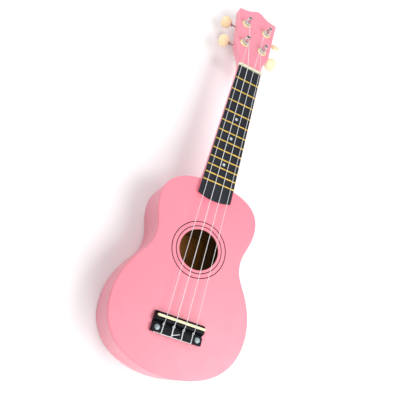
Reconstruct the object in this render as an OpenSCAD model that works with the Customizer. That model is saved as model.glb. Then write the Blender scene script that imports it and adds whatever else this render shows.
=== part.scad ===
// Soprano ukulele lying on its back, built from its separate wooden, plastic and metal pieces.
// Millimetres. +Z points out of the soundboard, +Y runs up the neck to the head, X runs across.
// The origin lies on the back's outer face, straight under the saddle.

/* [Body] */
// Depth of the body, from the back's outer face to the top of the soundboard
body_depth = 55; // [48:1:70]
// Thickness of the soundboard
top_t = 2; // [1.5:0.1:3]
// Thickness of the back
back_t = 2.2; // [1.5:0.1:3]
// Thickness of the bent sides
side_t = 2; // [1.5:0.1:3]
// Width of the glued linings
lining_w = 4; // [3:0.5:6]
// Radius of the sound hole
hole_r = 24.4; // [20:0.1:26]
// Distance from the saddle line to the centre of the sound hole
hole_y = 87.3; // [84:0.1:90]
// Middle radius of the inner inlaid ring
ring_in_r = 28.3; // [27.5:0.1:29]
// Middle radius of the outer inlaid ring
ring_out_r = 33.7; // [32:0.1:36]

/* [Neck and fingerboard] */
// Scale length, from the saddle line to the nut's front face
scale_len = 345; // [330:1:350]
// Number of frets
fret_count = 12; // [10:1:12]
// Width of the fingerboard at the nut
board_w_nut = 32.7; // [30:0.1:36]
// Width of the fingerboard at the twelfth fret
board_w_12 = 42.4; // [40:0.1:46]
// Thickness of the painted layer under the playing surface
base_t = 2.3; // [1.5:0.1:3]
// Thickness of the black playing surface
board_t = 2.2; // [1.8:0.1:3]
// Height of a fret crown above the playing surface
fret_h = 0.9; // [0.7:0.1:1.2]
// Depth of the neck below the fingerboard
neck_d = 15.5; // [13:0.5:18]
// Diameter of the position dots
dot_d = 4; // [3:0.5:5]

/* [Head] */
// Angle by which the head leans back from the fingerboard
head_tilt = 12; // [11:1:13]
// Thickness of the head
head_t = 12.5; // [12.5:0.5:14]
// Distance along the head from the nut line to the lower pair of posts
post_s_low = 47.8; // [46:0.1:49]
// Distance along the head from the nut line to the upper pair of posts
post_s_up = 86.7; // [86:0.1:88]

/* [Tuners] */
// Number of teeth on each worm wheel
wheel_teeth = 14; // [14:1:14]
// Distance from the post's axis to the worm's axis
gear_cd = 6.4; // [6.4:0.1:6.4]
// Radius of a tuning post
post_r = 3; // [2.6:0.1:3.1]
// Radial running clearance of the post and of the worm shaft
run_gap = 0.05; // [0.03:0.01:0.09]
// Distance from the post's axis to the middle of the button
button_x = 24.2; // [23:0.1:28]

/* [Bridge] */
// Half the length of the bridge
bridge_half = 30.2; // [30:0.1:32]
// Spacing of the strings at the saddle
saddle_spacing = 12; // [11:0.5:12]
// Spacing of the strings at the nut
nut_spacing = 9; // [8:0.5:9]

/* [Hidden] */
$fn = 48;

zt = body_depth;             // top face of the soundboard
zb = zt + base_t + board_t;  // top face of the fingerboard
eps = 0.01;

// ---- Body outline: a smooth closed curve through a few round control points, mirrored in X ----
CP = [[0, -60], [20, -58.5], [42.5, -52.5], [62.5, -41.5], [77.5, -23.5], [84.5, 1], [82.5, 29],
      [71.5, 54], [58.5, 71], [54.5, 85.5], [56, 100.5], [61.5, 114.5], [64.5, 130], [63.5, 146],
      [55.5, 160], [40, 169.5], [20.5, 174], [0, 174]];
CPN = len(CP);
LOOP = concat(CP, [for (i = [CPN - 2 : -1 : 1]) [-CP[i][0], CP[i][1]]]);
function wrap(v, i) = v[(i + len(v)) % len(v)];
function bs(a, b, c, d, t) = ((1 - t) * (1 - t) * (1 - t) * a + (3 * t * t * t - 6 * t * t + 4) * b
    + (-3 * t * t * t + 3 * t * t + 3 * t + 1) * c + t * t * t * d) / 6;
function closed_curve(v, n) = [for (i = [0 : len(v) - 1]) for (k = [0 : n - 1])
    bs(wrap(v, i - 1), wrap(v, i), wrap(v, i + 1), wrap(v, i + 2), k / n)];
function unit(v) = v / norm(v);
function inset(p, d) = [for (i = [0 : len(p) - 1])
    let (t = unit(wrap(p, i + 1) - wrap(p, i - 1))) p[i] + d * [-t[1], t[0]]];
OUT = closed_curve(LOOP, 4);
IN_SIDE = inset(OUT, side_t);
IN_LINING = inset(OUT, side_t + lining_w);

module slab(p, z0, z1) { translate([0, 0, z0]) linear_extrude(z1 - z0) polygon(p); }
module box(x0, x1, y0, y1, z0, z1) { translate([x0, y0, z0]) cube([x1 - x0, y1 - y0, z1 - z0]); }
module bar_x(x0, x1, p) { translate([x0, 0, 0]) rotate([90, 0, 90]) linear_extrude(x1 - x0) polygon(p); }

neck_block_y = 150;
tail_block_y = -47;
block_x = 26;
top_z = zt - top_t;

module soundboard() {
    color([1, 0.66, 0.73]) difference() {
        slab(OUT, top_z, zt);
        translate([0, hole_y, top_z - 1]) cylinder(r = hole_r, h = top_t + 2, $fn = 96);
        for (r = [ring_in_r, ring_out_r]) translate([0, hole_y, zt - 0.6]) difference() {
            cylinder(r = r + 0.5, h = 2, $fn = 96);
            translate([0, 0, -1]) cylinder(r = r - 0.5, h = 4, $fn = 96);
        }
        for (s = [-1, 1]) translate([s * screw_x, screw_y, top_z - 1]) cylinder(r = 1.75, h = top_t + 2);
    }
}
module back_plate() { color([0.93, 0.55, 0.63]) slab(OUT, 0, back_t); }
module side_ring() {
    difference() {
        slab(OUT, back_t, top_z);
        slab(IN_SIDE, back_t - 1, top_z + 1);
    }
}
module side_left() { color([0.93, 0.55, 0.63]) intersection() { side_ring(); box(-120, 0, -120, 220, 0, zt); } }
module side_right() { color([0.93, 0.55, 0.63]) intersection() { side_ring(); box(0, 120, -120, 220, 0, zt); } }
module neck_block() {
    color([0.72, 0.52, 0.33]) intersection() {
        slab(IN_SIDE, back_t, top_z);
        box(-block_x, block_x, neck_block_y, 200, 0, zt);
    }
}
module tail_block() {
    color([0.72, 0.52, 0.33]) intersection() {
        slab(IN_SIDE, back_t, top_z);
        box(-block_x, block_x, -100, tail_block_y, 0, zt);
    }
}
module lining(z0, z1) {
    difference() {
        slab(IN_SIDE, z0, z1);
        slab(IN_LINING, z0 - 1, z1 + 1);
        box(-block_x, block_x, neck_block_y, 200, z0 - 1, z1 + 1);
        box(-block_x, block_x, -100, tail_block_y, z0 - 1, z1 + 1);
    }
}
module top_linings() { color([0.76, 0.58, 0.38]) lining(top_z - 8, top_z); }
module back_linings() { color([0.76, 0.58, 0.38]) lining(back_t, back_t + 8); }
module brace(y, w, z0, z1) { intersection() { slab(IN_LINING, z0, z1); box(-100, 100, y - w / 2, y + w / 2, z0, z1); } }
module top_braces() { color([0.8, 0.64, 0.44]) for (y = [48, 124]) brace(y, 6, top_z - 7, top_z); }
module back_braces() { color([0.8, 0.64, 0.44]) for (y = [22, 136]) brace(y, 6, back_t, back_t + 7); }
module bridge_plate() {
    color([0.7, 0.5, 0.32]) difference() {
        box(-36, 36, -20, 8, top_z - 2, top_z);
        for (s = [-1, 1]) translate([s * screw_x, screw_y, top_z - 3]) cylinder(r = 1.75, h = 4);
    }
}
module rosette_rings() {
    color([0.45, 0.25, 0.3]) for (r = [ring_in_r, ring_out_r]) translate([0, hole_y, zt - 0.6]) difference() {
        cylinder(r = r + 0.5, h = 0.6, $fn = 96);
        translate([0, 0, -1]) cylinder(r = r - 0.5, h = 4, $fn = 96);
    }
}
module interior_label() { color([0.5, 0.33, 0.16]) box(-26, 26, 58, 120, back_t, back_t + 0.3); }

// ---- Fingerboard ----
function fret_y(n) = scale_len * pow(2, -n / 12);
function board_half(y) = (board_w_nut + (board_w_12 - board_w_nut) * (scale_len - y) / (scale_len - fret_y(12))) / 2;
board_corner_y = 153.5;      // where the straight edge ends
board_end_y = 149.5;         // lowest point of the rounded end
function board_end(k) = let (x = board_half(board_corner_y) * (1 - k / 6))
    [x, board_end_y + (board_corner_y - board_end_y) * pow(abs(x) / board_half(board_corner_y), 2)];
BOARD_2D = concat([[board_half(scale_len), scale_len], [-board_half(scale_len), scale_len]],
    [for (k = [12 : -1 : 0]) board_end(k)]);
module fingerboard_base() { color([1, 0.66, 0.73]) slab(BOARD_2D, zt, zt + base_t); }
module fingerboard() {
    color([0.13, 0.14, 0.16]) difference() {
        slab(BOARD_2D, zt + base_t, zb);
        for (n = [1 : fret_count]) box(-60, 60, fret_y(n) - 0.3, fret_y(n) + 0.3, zb - 1.2, zb + 1);
        for (n = [5, 7, 10]) translate([0, (fret_y(n) + fret_y(n - 1)) / 2, zb - 0.8]) cylinder(d = dot_d, h = 2);
    }
}
module fret(n) {
    h = board_half(fret_y(n));
    r = (1 + fret_h * fret_h) / (2 * fret_h);   // crown 2 mm wide
    translate([0, fret_y(n), 0]) {
        intersection() {
            translate([-h, 0, zb + fret_h - r]) rotate([0, 90, 0]) cylinder(r = r, h = 2 * h);
            box(-h - 1, h + 1, -3, 3, zb, zb + 3);
        }
        box(-h, h, -0.3, 0.3, zb - 1.2, zb + 0.2);
    }
}
module frets() { color([0.83, 0.66, 0.3]) for (n = [1 : fret_count]) fret(n); }
module position_dots() {
    color([0.75, 0.77, 0.8]) for (n = [5, 7, 10]) translate([0, (fret_y(n) + fret_y(n - 1)) / 2, zb - 0.8]) cylinder(d = dot_d, h = 0.8);
}

// ---- Head frame: s runs along the tilted face from the nut line, h stands out of the face ----
head_z = zt + 0.7;           // the face's height at the nut line
module on_head(x, s, h) { translate([0, scale_len, head_z]) rotate([-head_tilt, 0, 0]) translate([x, s, h]) children(); }
HP = [[17.5, 0], [17.6, 8], [18, 16], [19.8, 25], [24, 35], [26, 46], [26.8, 60], [27.8, 76], [29, 95],
      [30.4, 112], [30.3, 114.5], [28.5, 115.2], [23, 115.4], [16, 117.2], [9, 121], [4, 124.5], [0, 125.6]];
function head_pt(i) = HP[min(max(i, 0), len(HP) - 1)];
function cr(a, b, c, d, t) = 0.5 * (2 * b + (c - a) * t + (2 * a - 5 * b + 4 * c - d) * t * t + (3 * b - a - 3 * c + d) * t * t * t);
HEAD_R = concat([for (i = [0 : len(HP) - 2]) for (k = [0 : 2]) cr(head_pt(i - 1), head_pt(i), head_pt(i + 1), head_pt(i + 2), k / 3)],
    [HP[len(HP) - 1]]);
HEAD_2D = concat(HEAD_R, [for (i = [len(HEAD_R) - 2 : -1 : 0]) [-HEAD_R[i][0], HEAD_R[i][1]]]);
post_s = [post_s_low, post_s_up, post_s_up, post_s_low];
post_x = [-13.9, -16.1, 16.1, 13.9];
side = [-1, -1, 1, 1];

// One half-round section of the neck: w wide, d deep, its flat top at the fingerboard's underside
module neck_section(y, w, d) {
    translate([0, y, zt]) rotate([90, 0, 0]) linear_extrude(0.02) intersection() {
        scale([1, d / (w / 2)]) circle(r = w / 2, $fn = 64);
        translate([-w, -2 * d]) square([2 * w, 2 * d]);
    }
}
module neck() {
    color([0.97, 0.62, 0.69]) difference() {
        union() {
            // shaft
            hull() {
                neck_section(scale_len - 2, 2 * board_half(scale_len), neck_d - 2);
                neck_section(206, 2 * board_half(206), neck_d);
            }
            hull() {
                neck_section(206, 2 * board_half(206), neck_d);
                neck_section(192, 2 * board_half(192), neck_d + 4);
            }
            // heel, deepening to the back
            hull() {
                neck_section(192, 2 * board_half(192), neck_d + 4);
                neck_section(182, 2 * board_half(184), neck_d + 16);
            }
            hull() {
                neck_section(182, 2 * board_half(184), neck_d + 16);
                box(-20.5, 20.5, 170, 175.5, zt - 10, zt);
                box(-12, 12, 170, 176, 9, 22);
            }
            // head
            hull() {
                neck_section(scale_len - 2, 2 * board_half(scale_len), neck_d - 2);
                on_head(0, 5, -9) translate([-17.3, -1, 0]) cube([34.6, 1, 9]);
                on_head(0, 12, -head_t) translate([-17.8, -1, 0]) cube([35.6, 1, head_t]);
            }
            on_head(0, 0, -head_t) difference() {
                linear_extrude(head_t) polygon(HEAD_2D);
                translate([-40, -1, -1]) cube([80, 12.5, head_t + 2]);
            }
        }
        // the body's end, against which the heel is glued
        slab(OUT, -5, zt);
        // seat of the nut, and nothing stands above the fingerboard's underside before it
        box(-30, 30, scale_len - 6, scale_len + 4.2, zt, zt + 40);
        for (i = [0 : 3]) on_head(post_x[i], post_s[i], -head_t - 1) cylinder(r = 4.55, h = head_t + 2);
        for (i = [0 : 3]) for (q = [-9.8, 11.8]) on_head(post_x[i], post_s[i] + q, -head_t - 1) cylinder(r = 1, h = 8);
    }
}

// ---- Nut, bridge and saddle ----
string_r = [0.3, 0.42, 0.37, 0.3];
function sx_saddle(i) = (i - 1.5) * saddle_spacing;
function sx_nut(i) = (i - 1.5) * nut_spacing;
nut_top = zb + 2.4;
nut_half = board_w_nut / 2 + 1;
string_z_nut = zb + 1.5;     // centre of a string in its nut slot
module nut() {
    color([0.95, 0.92, 0.78]) difference() {
        bar_x(-nut_half, nut_half, [[scale_len, zt], [scale_len + 4.2, zt], [scale_len + 4.2, nut_top - 1.4],
            [scale_len + 3.2, nut_top - 0.5], [scale_len + 1.2, nut_top], [scale_len, nut_top - 0.2]]);
        for (i = [0 : 3]) translate([sx_nut(i), 0, 0]) {
            translate([0, scale_len - 2, string_z_nut]) rotate([-90 - 8, 0, 0]) cylinder(r = string_r[i] + 0.22, h = 10);
            box(-string_r[i] - 0.22, string_r[i] + 0.22, scale_len - 2, scale_len + 8, string_z_nut - 0.1, string_z_nut + 4);
        }
    }
}

screw_x = 24.3;
screw_y = -12.6;
deck_z = 5;
saddle_y0 = -1;
saddle_y1 = 2;
saddle_top = 8.6;
hole_z = 2.4;                // height of the string holes in the tie block
saddle_z = zt + saddle_top - 0.35;   // crown of the saddle
module bridge() {
    color([0.1, 0.1, 0.11]) difference() {
        bar_x(-bridge_half, bridge_half, [[-17.8, zt], [4.8, zt], [4.8, zt + 3.6], [4.2, zt + 4.3], [2, zt + 4.6],
            [-1, zt + 6.9], [-2.2, zt + 7.1], [-3.6, zt + 6.8], [-4.8, zt + 5.9], [-5.6, zt + 4.4], [-6.2, zt + 2.6], [-7.4, zt + 1.6],
            [-8.6, zt + 1.6], [-8.9, zt + 4.4], [-9.5, zt + deck_z], [-17.2, zt + deck_z], [-17.8, zt + 4.4]]);
        // saddle slot, open at its right-hand end
        box(-28.2, bridge_half + 1, saddle_y0, saddle_y1, zt + 2.6, zt + 12);
        // string holes through the tie block
        for (i = [0 : 3]) translate([sx_saddle(i), -7.5, zt + hole_z]) rotate([90, 0, 0]) cylinder(r = 0.8, h = 12);
        for (s = [-1, 1]) translate([s * screw_x, screw_y, zt - 1]) cylinder(r = 1.75, h = 12);
    }
}
module saddle() {
    color([0.98, 0.94, 0.72]) intersection() {
        bar_x(-28.2, 30.3, [[saddle_y0, zt + 2.6], [saddle_y1, zt + 2.6], [saddle_y1, zt + saddle_top - 1.3], [1.7, zt + saddle_top - 0.8],
            [1.1, zt + saddle_top - 0.4], [0.5, zt + saddle_top - 0.35], [-0.1, zt + saddle_top - 0.4], [-0.7, zt + saddle_top - 0.8], [saddle_y0, zt + saddle_top - 1.3]]);
        union() {
            box(-26.7, 28.8, -5, 5, zt, zt + 20);
            for (x = [-26.7, 28.8]) translate([x, 0.5, zt]) cylinder(r = 1.5, h = 20);
        }
    }
}
module bridge_screws() {
    color([0.75, 0.77, 0.78]) for (s = [-1, 1]) translate([s * screw_x, screw_y, 0]) difference() {
        union() {
            translate([0, 0, top_z - 10]) cylinder(r = 1.5, h = zt + deck_z - top_z + 10);
            translate([0, 0, zt + deck_z]) cylinder(r = 3.3, h = 0.8);
            translate([0, 0, zt + deck_z + 0.8]) cylinder(r1 = 3.3, r2 = 2.4, h = 0.7);
        }
        box(-1.7, 1.7, -0.3, 0.3, zt + deck_z + 0.8, zt + deck_z + 4);
        box(-0.3, 0.3, -1.7, 1.7, zt + deck_z + 0.8, zt + deck_z + 4);
    }
}
module bridge_washers() {
    color([0.7, 0.72, 0.72]) for (s = [-1, 1]) translate([s * screw_x, screw_y, top_z - 3]) difference() {
        cylinder(r = 4, h = 1);
        translate([0, 0, -1]) cylinder(r = 1.6, h = 3);
    }
}
module bridge_nuts() {
    color([0.72, 0.73, 0.74]) for (s = [-1, 1]) translate([s * screw_x, screw_y, top_z - 5.4]) difference() {
        cylinder(r = 3.1, h = 2.4, $fn = 6);
        translate([0, 0, -1]) cylinder(r = 1.55, h = 5);
    }
}

// ---- Strings: swept tubes along the points of their route ----
function tangent(p, i) = unit((i < len(p) - 1 ? p[i + 1] : p[i]) - (i > 0 ? p[i - 1] : p[i]));
function sweep_pts(p, r, n) = [for (i = [0 : len(p) - 1]) let (t = tangent(p, i), a = unit(cross(t, [1, 0.02, 0.01])), b = cross(t, a))
    for (k = [0 : n - 1]) p[i] + r * (cos(360 * k / n) * a + sin(360 * k / n) * b)];
module tube(p, r, n = 8) {
    m = len(p);
    polyhedron(points = sweep_pts(p, r, n),
        faces = concat([[for (k = [0 : n - 1]) k]], [[for (k = [n - 1 : -1 : 0]) (m - 1) * n + k]],
            [for (i = [0 : m - 2]) for (k = [0 : n - 1]) [i * n + k, (i + 1) * n + k, (i + 1) * n + (k + 1) % n]],
            [for (i = [0 : m - 2]) for (k = [0 : n - 1]) [i * n + k, (i + 1) * n + (k + 1) % n, i * n + (k + 1) % n]]));
}
// a point given in the head's own frame
function head_xyz(x, s, h) = [x, scale_len + s * cos(head_tilt) + h * sin(head_tilt), head_z - s * sin(head_tilt) + h * cos(head_tilt)];
wind_h = 4.4;                // height above the head's face at which a string meets its post
wind_r = post_r + 0.9;       // outer radius of the winding
// the string meets its post on the side nearer the head's middle line
function post_touch(i) = [post_x[i] - side[i] * (post_r + 0.5), post_s[i], wind_h];
function string_route(i) =
    let (r = string_r[i], xs = sx_saddle(i), xn = sx_nut(i), pt = post_touch(i),
         a = [xn, 2.5], dir = unit([pt[0] - xn, pt[1] - 2.5]), e = [pt[0], pt[1]] - dir * 4)
    [
        // knot behind the ridge, over the tie block and round its back edge
        [xs - 1.2, -7.3, zt + 5.6], [xs - 1.2, -9.2, zt + deck_z + r + 0.5], [xs - 0.9, -13, zt + deck_z + r + 0.12], [xs - 0.5, -16.6, zt + deck_z + r + 0.08],
        [xs - 0.35, -17.7, zt + deck_z + r], [xs - 0.15, -18.7, zt + deck_z - 0.4], [xs, -19, zt + 3.7], [xs, -18.7, zt + 2.8], [xs, -18, zt + hole_z + 0.05], [xs, -17, zt + hole_z],
        // through the hole, up out of the valley, over the ridge and the saddle
        [xs, -9.2, zt + hole_z], [xs, -8, zt + hole_z + 0.4], [xs, -6.9, zt + 4.5], [xs, -5.9, zt + 6.2], [xs, -5.2, zt + 6.9], [xs, -4.4, zt + 7.4],
        [xs, -0.8, saddle_z + r - 0.08], [xs, 0.5, saddle_z + r + 0.04], [xs * 0.999, 2.4, saddle_z + r + 0.03],
        // the sounding length, the nut, and the run to the post
        [xn, scale_len, string_z_nut], [xn, scale_len + 2.5, string_z_nut - 0.35],
        head_xyz(e[0], e[1], wind_h + 0.3)
    ];
module string_1() { color([0.92, 0.92, 0.94]) tube(string_route(0), string_r[0]); }
module string_2() { color([0.92, 0.92, 0.94]) tube(string_route(1), string_r[1]); }
module string_3() { color([0.92, 0.92, 0.94]) tube(string_route(2), string_r[2]); }
module string_4() { color([0.92, 0.92, 0.94]) tube(string_route(3), string_r[3]); }

// ---- Tuning machines ----
// Local frame of one machine: origin on the post's axis at the head's back face, +x outboard to the button,
// +y to the head's tip, -z away from the head's back.
module machine(i) { on_head(post_x[i], post_s[i], -head_t) mirror([side[i] < 0 ? 1 : 0, 0, 0]) children(); }
plate_t = 1;
worm_z = -plate_t - 4.3;
shaft_r = 1.5;
pitch = 2 * gear_cd / (wheel_teeth + 6) * PI;    // tooth spacing along the pitch circle
wheel_pr = wheel_teeth * pitch / (2 * PI);
worm_pr = gear_cd - wheel_pr;
add = 0.42;                  // height of a tooth over the pitch line
ded = 0.72;                  // depth of a tooth space under it
lug_x = 5.6;                 // inner face of a bearing lug
PLATE_2D = [[-7.2, 3.4], [-7.2, 9.4], [-4.4, 12.6], [-2.4, 15], [2.4, 15], [4.4, 12.6], [7.2, 9.4], [7.2, 3.4], [6.6, -3], [4.4, -10.6], [2.4, -13], [-2.4, -13], [-4.4, -10.6], [-6.6, -3]];
module plate() {
    difference() {
        union() {
            translate([0, 0, -plate_t]) linear_extrude(plate_t) polygon(PLATE_2D);
            for (s = [-1, 1]) translate([s * (lug_x + 0.7), gear_cd, 0]) {
                translate([-0.7, -2.9, worm_z]) cube([1.4, 5.8, -worm_z - plate_t + 0.2]);
                translate([-0.7, 0, worm_z]) rotate([0, 90, 0]) cylinder(r = 2.9, h = 1.4);
            }
        }
        translate([0, 0, -5]) cylinder(r = post_r + run_gap, h = 10);
        for (q = [-9.8, 11.8]) translate([0, q, -5]) cylinder(r = 1.25, h = 10);
        translate([-20, gear_cd, worm_z]) rotate([0, 90, 0]) cylinder(r = shaft_r + run_gap, h = 40);
    }
}
module tuner_plates() { color([0.78, 0.79, 0.8]) for (i = [0 : 3]) machine(i) plate(); }
module wood_screw() {
    translate([0, 0, -plate_t]) cylinder(r = 0.95, h = 7);
    difference() {
        union() {
            translate([0, 0, -plate_t - 0.5]) cylinder(r = 2.3, h = 0.5);
            translate([0, 0, -plate_t - 1.1]) cylinder(r1 = 1.4, r2 = 2.3, h = 0.6);
        }
        translate([-1.2, -0.25, -plate_t - 2]) cube([2.4, 0.5, 1.4]);
        translate([-0.25, -1.2, -plate_t - 2]) cube([0.5, 2.4, 1.4]);
    }
}
module tuner_screws() { color([0.75, 0.76, 0.78]) for (i = [0 : 3]) machine(i) for (q = [-9.8, 11.8]) translate([0, q, 0]) wood_screw(); }
module bushing() {
    difference() {
        union() {
            cylinder(r = 6.8, h = 1);
            translate([0, 0, 1]) cylinder(r1 = 6.8, r2 = 5.6, h = 0.6);
            translate([0, 0, -8]) cylinder(r = 4.5, h = 8.2);
        }
        translate([0, 0, -9]) cylinder(r = post_r + run_gap, h = 14);
    }
}
module post_bushings() { color([0.94, 0.88, 0.68]) for (i = [0 : 3]) on_head(post_x[i], post_s[i], 0) bushing(); }

post_top = 12.4;             // height of the post's top above the head's face
module post() {
    color([0.85, 0.85, 0.87]) difference() {
        union() {
            // square-shouldered foot, shaft, waisted barrel and cap
            rotate_extrude($fn = 48) polygon([[0, worm_z - 2.2], [2, worm_z - 2.2], [2, worm_z + 1.7], [4, worm_z + 1.7], [4, -plate_t - 0.3],
                [post_r, -plate_t - 0.3], [post_r, head_t + 2.6], [post_r - 0.35, head_t + 3.2], [post_r - 0.35, head_t + 6.4], [post_r, head_t + 7],
                [post_r, head_t + post_top - 0.7], [post_r - 0.7, head_t + post_top], [0, head_t + post_top]]);
        }
        // string hole
        translate([0, -6, head_t + 5.2]) rotate([-90, 0, 0]) cylinder(r = 0.7, h = 12, $fn = 24);
        // thread for the gear screw
        translate([0, 0, worm_z - 3]) cylinder(r = 1, h = 6);
    }
}
function wheel_tooth(k) = let (a = 360 / wheel_teeth, c = (k + 0.5) * a, ri = wheel_pr - ded, ro = wheel_pr + add, pr = wheel_pr)
    [[ri, c - a * 0.3], [pr, c - a * 0.16], [ro, c - a * 0.1], [ro, c + a * 0.1], [pr, c + a * 0.16], [ri, c + a * 0.3]];
WHEEL_2D = [for (k = [0 : wheel_teeth - 1]) for (q = wheel_tooth(k)) [q[0] * sin(q[1]), q[0] * cos(q[1])]];
module worm_wheel() {
    color([0.8, 0.65, 0.32]) difference() {
        translate([0, 0, worm_z - 1.5]) linear_extrude(3) polygon(WHEEL_2D);
        translate([0, 0, worm_z - 5]) cylinder(r = 2, h = 10);
    }
}
module gear_screw() {
    color([0.72, 0.73, 0.75]) union() {
        translate([0, 0, worm_z - 3]) cylinder(r = 1, h = 5.5);
        difference() {
            translate([0, 0, worm_z - 3.8]) cylinder(r1 = 1.9, r2 = 2.7, h = 1.3);
            translate([-2, -0.3, worm_z - 4.5]) cube([4, 0.6, 1.2]);
        }
    }
}
module winding() {
    color([0.92, 0.92, 0.94]) rotate_extrude($fn = 48) polygon([[post_r, head_t + 2.2], [wind_r - 0.2, head_t + 2.4], [wind_r, head_t + 2.9],
        [wind_r - 0.2, head_t + 3.3], [wind_r, head_t + 3.8], [wind_r - 0.2, head_t + 4.2], [wind_r, head_t + 4.7], [wind_r - 0.2, head_t + 5.1], [post_r, head_t + 5.3]]);
}
// worm thread: a ridge swept along its helix
core_r = 1.15;               // core of the worm between its bearings
// the thread faces the wheel, towards -y, at a = 0 and stands there in a tooth space
function helix(a, r, w) = let (x = a / 360 * pitch) [x + w, -r * cos(a), r * sin(a)];
thread_n = 24;
thread_a0 = -540;
thread_a1 = 540;
thread_steps = round((thread_a1 - thread_a0) / (360 / thread_n));
function thread_ring(a) = [helix(a, core_r - 0.1, -0.62), helix(a, worm_pr + add, -0.28), helix(a, worm_pr + add, 0.28), helix(a, core_r - 0.1, 0.62)];
module thread() {
    pts = [for (i = [0 : thread_steps]) for (q = thread_ring(thread_a0 + i * 360 / thread_n)) q];
    polyhedron(points = pts, faces = concat([[0, 1, 2, 3]], [[for (k = [3 : -1 : 0]) thread_steps * 4 + k]],
        [for (i = [0 : thread_steps - 1]) for (k = [0 : 3]) [i * 4 + k, (i + 1) * 4 + k, (i + 1) * 4 + (k + 1) % 4]],
        [for (i = [0 : thread_steps - 1]) for (k = [0 : 3]) [i * 4 + k, (i + 1) * 4 + (k + 1) % 4, i * 4 + (k + 1) % 4]]));
}
module worm_shaft() {
    color([0.75, 0.76, 0.79]) translate([0, gear_cd, worm_z]) union() {
        rotate([0, 90, 0]) translate([0, 0, -7.4]) cylinder(r = shaft_r, h = 3.2);
        rotate([0, 90, 0]) translate([0, 0, -5]) cylinder(r = core_r, h = 10);
        rotate([0, 90, 0]) translate([0, 0, 4.2]) cylinder(r = shaft_r, h = button_x - 9.2);
        rotate([0, 90, 0]) translate([0, 0, 7.4]) cylinder(r = 2.1, h = 1);
        rotate([0, 90, 0]) translate([0, 0, -8]) cylinder(r = 2.1, h = 0.7);
        thread();
    }
}
button_turn = [34, 28, -32, 42];       // how far each button happens to be turned at rest
// stations along the button: place, half width across, half thickness
BUTTON = [[-7.2, 3.6, 2], [-6, 5.8, 2.5], [-3.5, 7.7, 2.9], [0, 8.8, 3], [3.5, 8.3, 2.9], [6, 6.4, 2.5], [7.3, 3.8, 2]];
module button(i) {
    color([0.95, 0.88, 0.68]) translate([button_x, gear_cd, worm_z]) rotate([button_turn[i], 0, 0]) difference() {
        union() {
            rotate([0, 90, 0]) translate([0, 0, -9.6]) cylinder(r1 = 2.4, r2 = 3, h = 4);
            hull() for (q = BUTTON)
                translate([q[0], 0, 0]) rotate([0, 90, 0]) scale([q[2] / q[1], 1, 1]) cylinder(r = q[1], h = 0.3, center = true, $fn = 32);
        }
        rotate([0, 90, 0]) translate([0, 0, -10]) cylinder(r = shaft_r, h = 5);
    }
}
module post_1() { machine(0) post(); }
module post_2() { machine(1) post(); }
module post_3() { machine(2) post(); }
module post_4() { machine(3) post(); }
module worm_wheel_1() { machine(0) worm_wheel(); }
module worm_wheel_2() { machine(1) worm_wheel(); }
module worm_wheel_3() { machine(2) worm_wheel(); }
module worm_wheel_4() { machine(3) worm_wheel(); }
module gear_screw_1() { machine(0) gear_screw(); }
module gear_screw_2() { machine(1) gear_screw(); }
module gear_screw_3() { machine(2) gear_screw(); }
module gear_screw_4() { machine(3) gear_screw(); }
module winding_1() { machine(0) winding(); }
module winding_2() { machine(1) winding(); }
module winding_3() { machine(2) winding(); }
module winding_4() { machine(3) winding(); }
module worm_shaft_1() { machine(0) worm_shaft(); }
module worm_shaft_2() { machine(1) worm_shaft(); }
module worm_shaft_3() { machine(2) worm_shaft(); }
module worm_shaft_4() { machine(3) worm_shaft(); }
module button_1() { machine(0) button(0); }
module button_2() { machine(1) button(1); }
module button_3() { machine(2) button(2); }
module button_4() { machine(3) button(3); }

soundboard();
back_plate();
side_left();
side_right();
neck_block();
tail_block();
top_linings();
back_linings();
top_braces();
back_braces();
bridge_plate();
rosette_rings();
interior_label();
neck();
fingerboard_base();
fingerboard();
frets();
position_dots();
nut();
bridge();
saddle();
bridge_screws();
bridge_washers();
bridge_nuts();
string_1();
string_2();
string_3();
string_4();
tuner_plates();
tuner_screws();
post_bushings();
post_1();
post_2();
post_3();
post_4();
worm_wheel_1();
worm_wheel_2();
worm_wheel_3();
worm_wheel_4();
gear_screw_1();
gear_screw_2();
gear_screw_3();
gear_screw_4();
winding_1();
winding_2();
winding_3();
winding_4();
worm_shaft_1();
worm_shaft_2();
worm_shaft_3();
worm_shaft_4();
button_1();
button_2();
button_3();
button_4();
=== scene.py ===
import math
import bpy
import bmesh
import numpy as np
from mathutils import Vector, Matrix


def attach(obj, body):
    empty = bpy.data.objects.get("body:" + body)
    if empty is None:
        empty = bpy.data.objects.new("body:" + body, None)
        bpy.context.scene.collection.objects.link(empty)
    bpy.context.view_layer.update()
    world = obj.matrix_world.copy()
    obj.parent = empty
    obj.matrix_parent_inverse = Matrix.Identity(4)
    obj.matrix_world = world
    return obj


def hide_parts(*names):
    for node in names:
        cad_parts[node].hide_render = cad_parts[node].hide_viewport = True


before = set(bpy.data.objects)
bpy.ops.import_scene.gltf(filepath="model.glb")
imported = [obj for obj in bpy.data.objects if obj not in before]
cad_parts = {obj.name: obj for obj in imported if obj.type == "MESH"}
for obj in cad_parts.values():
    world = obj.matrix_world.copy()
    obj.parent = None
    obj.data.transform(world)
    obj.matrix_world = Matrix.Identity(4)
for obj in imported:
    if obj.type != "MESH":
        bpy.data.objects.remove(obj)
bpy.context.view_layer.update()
MM = 0.001
D2R = math.pi / 180

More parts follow.
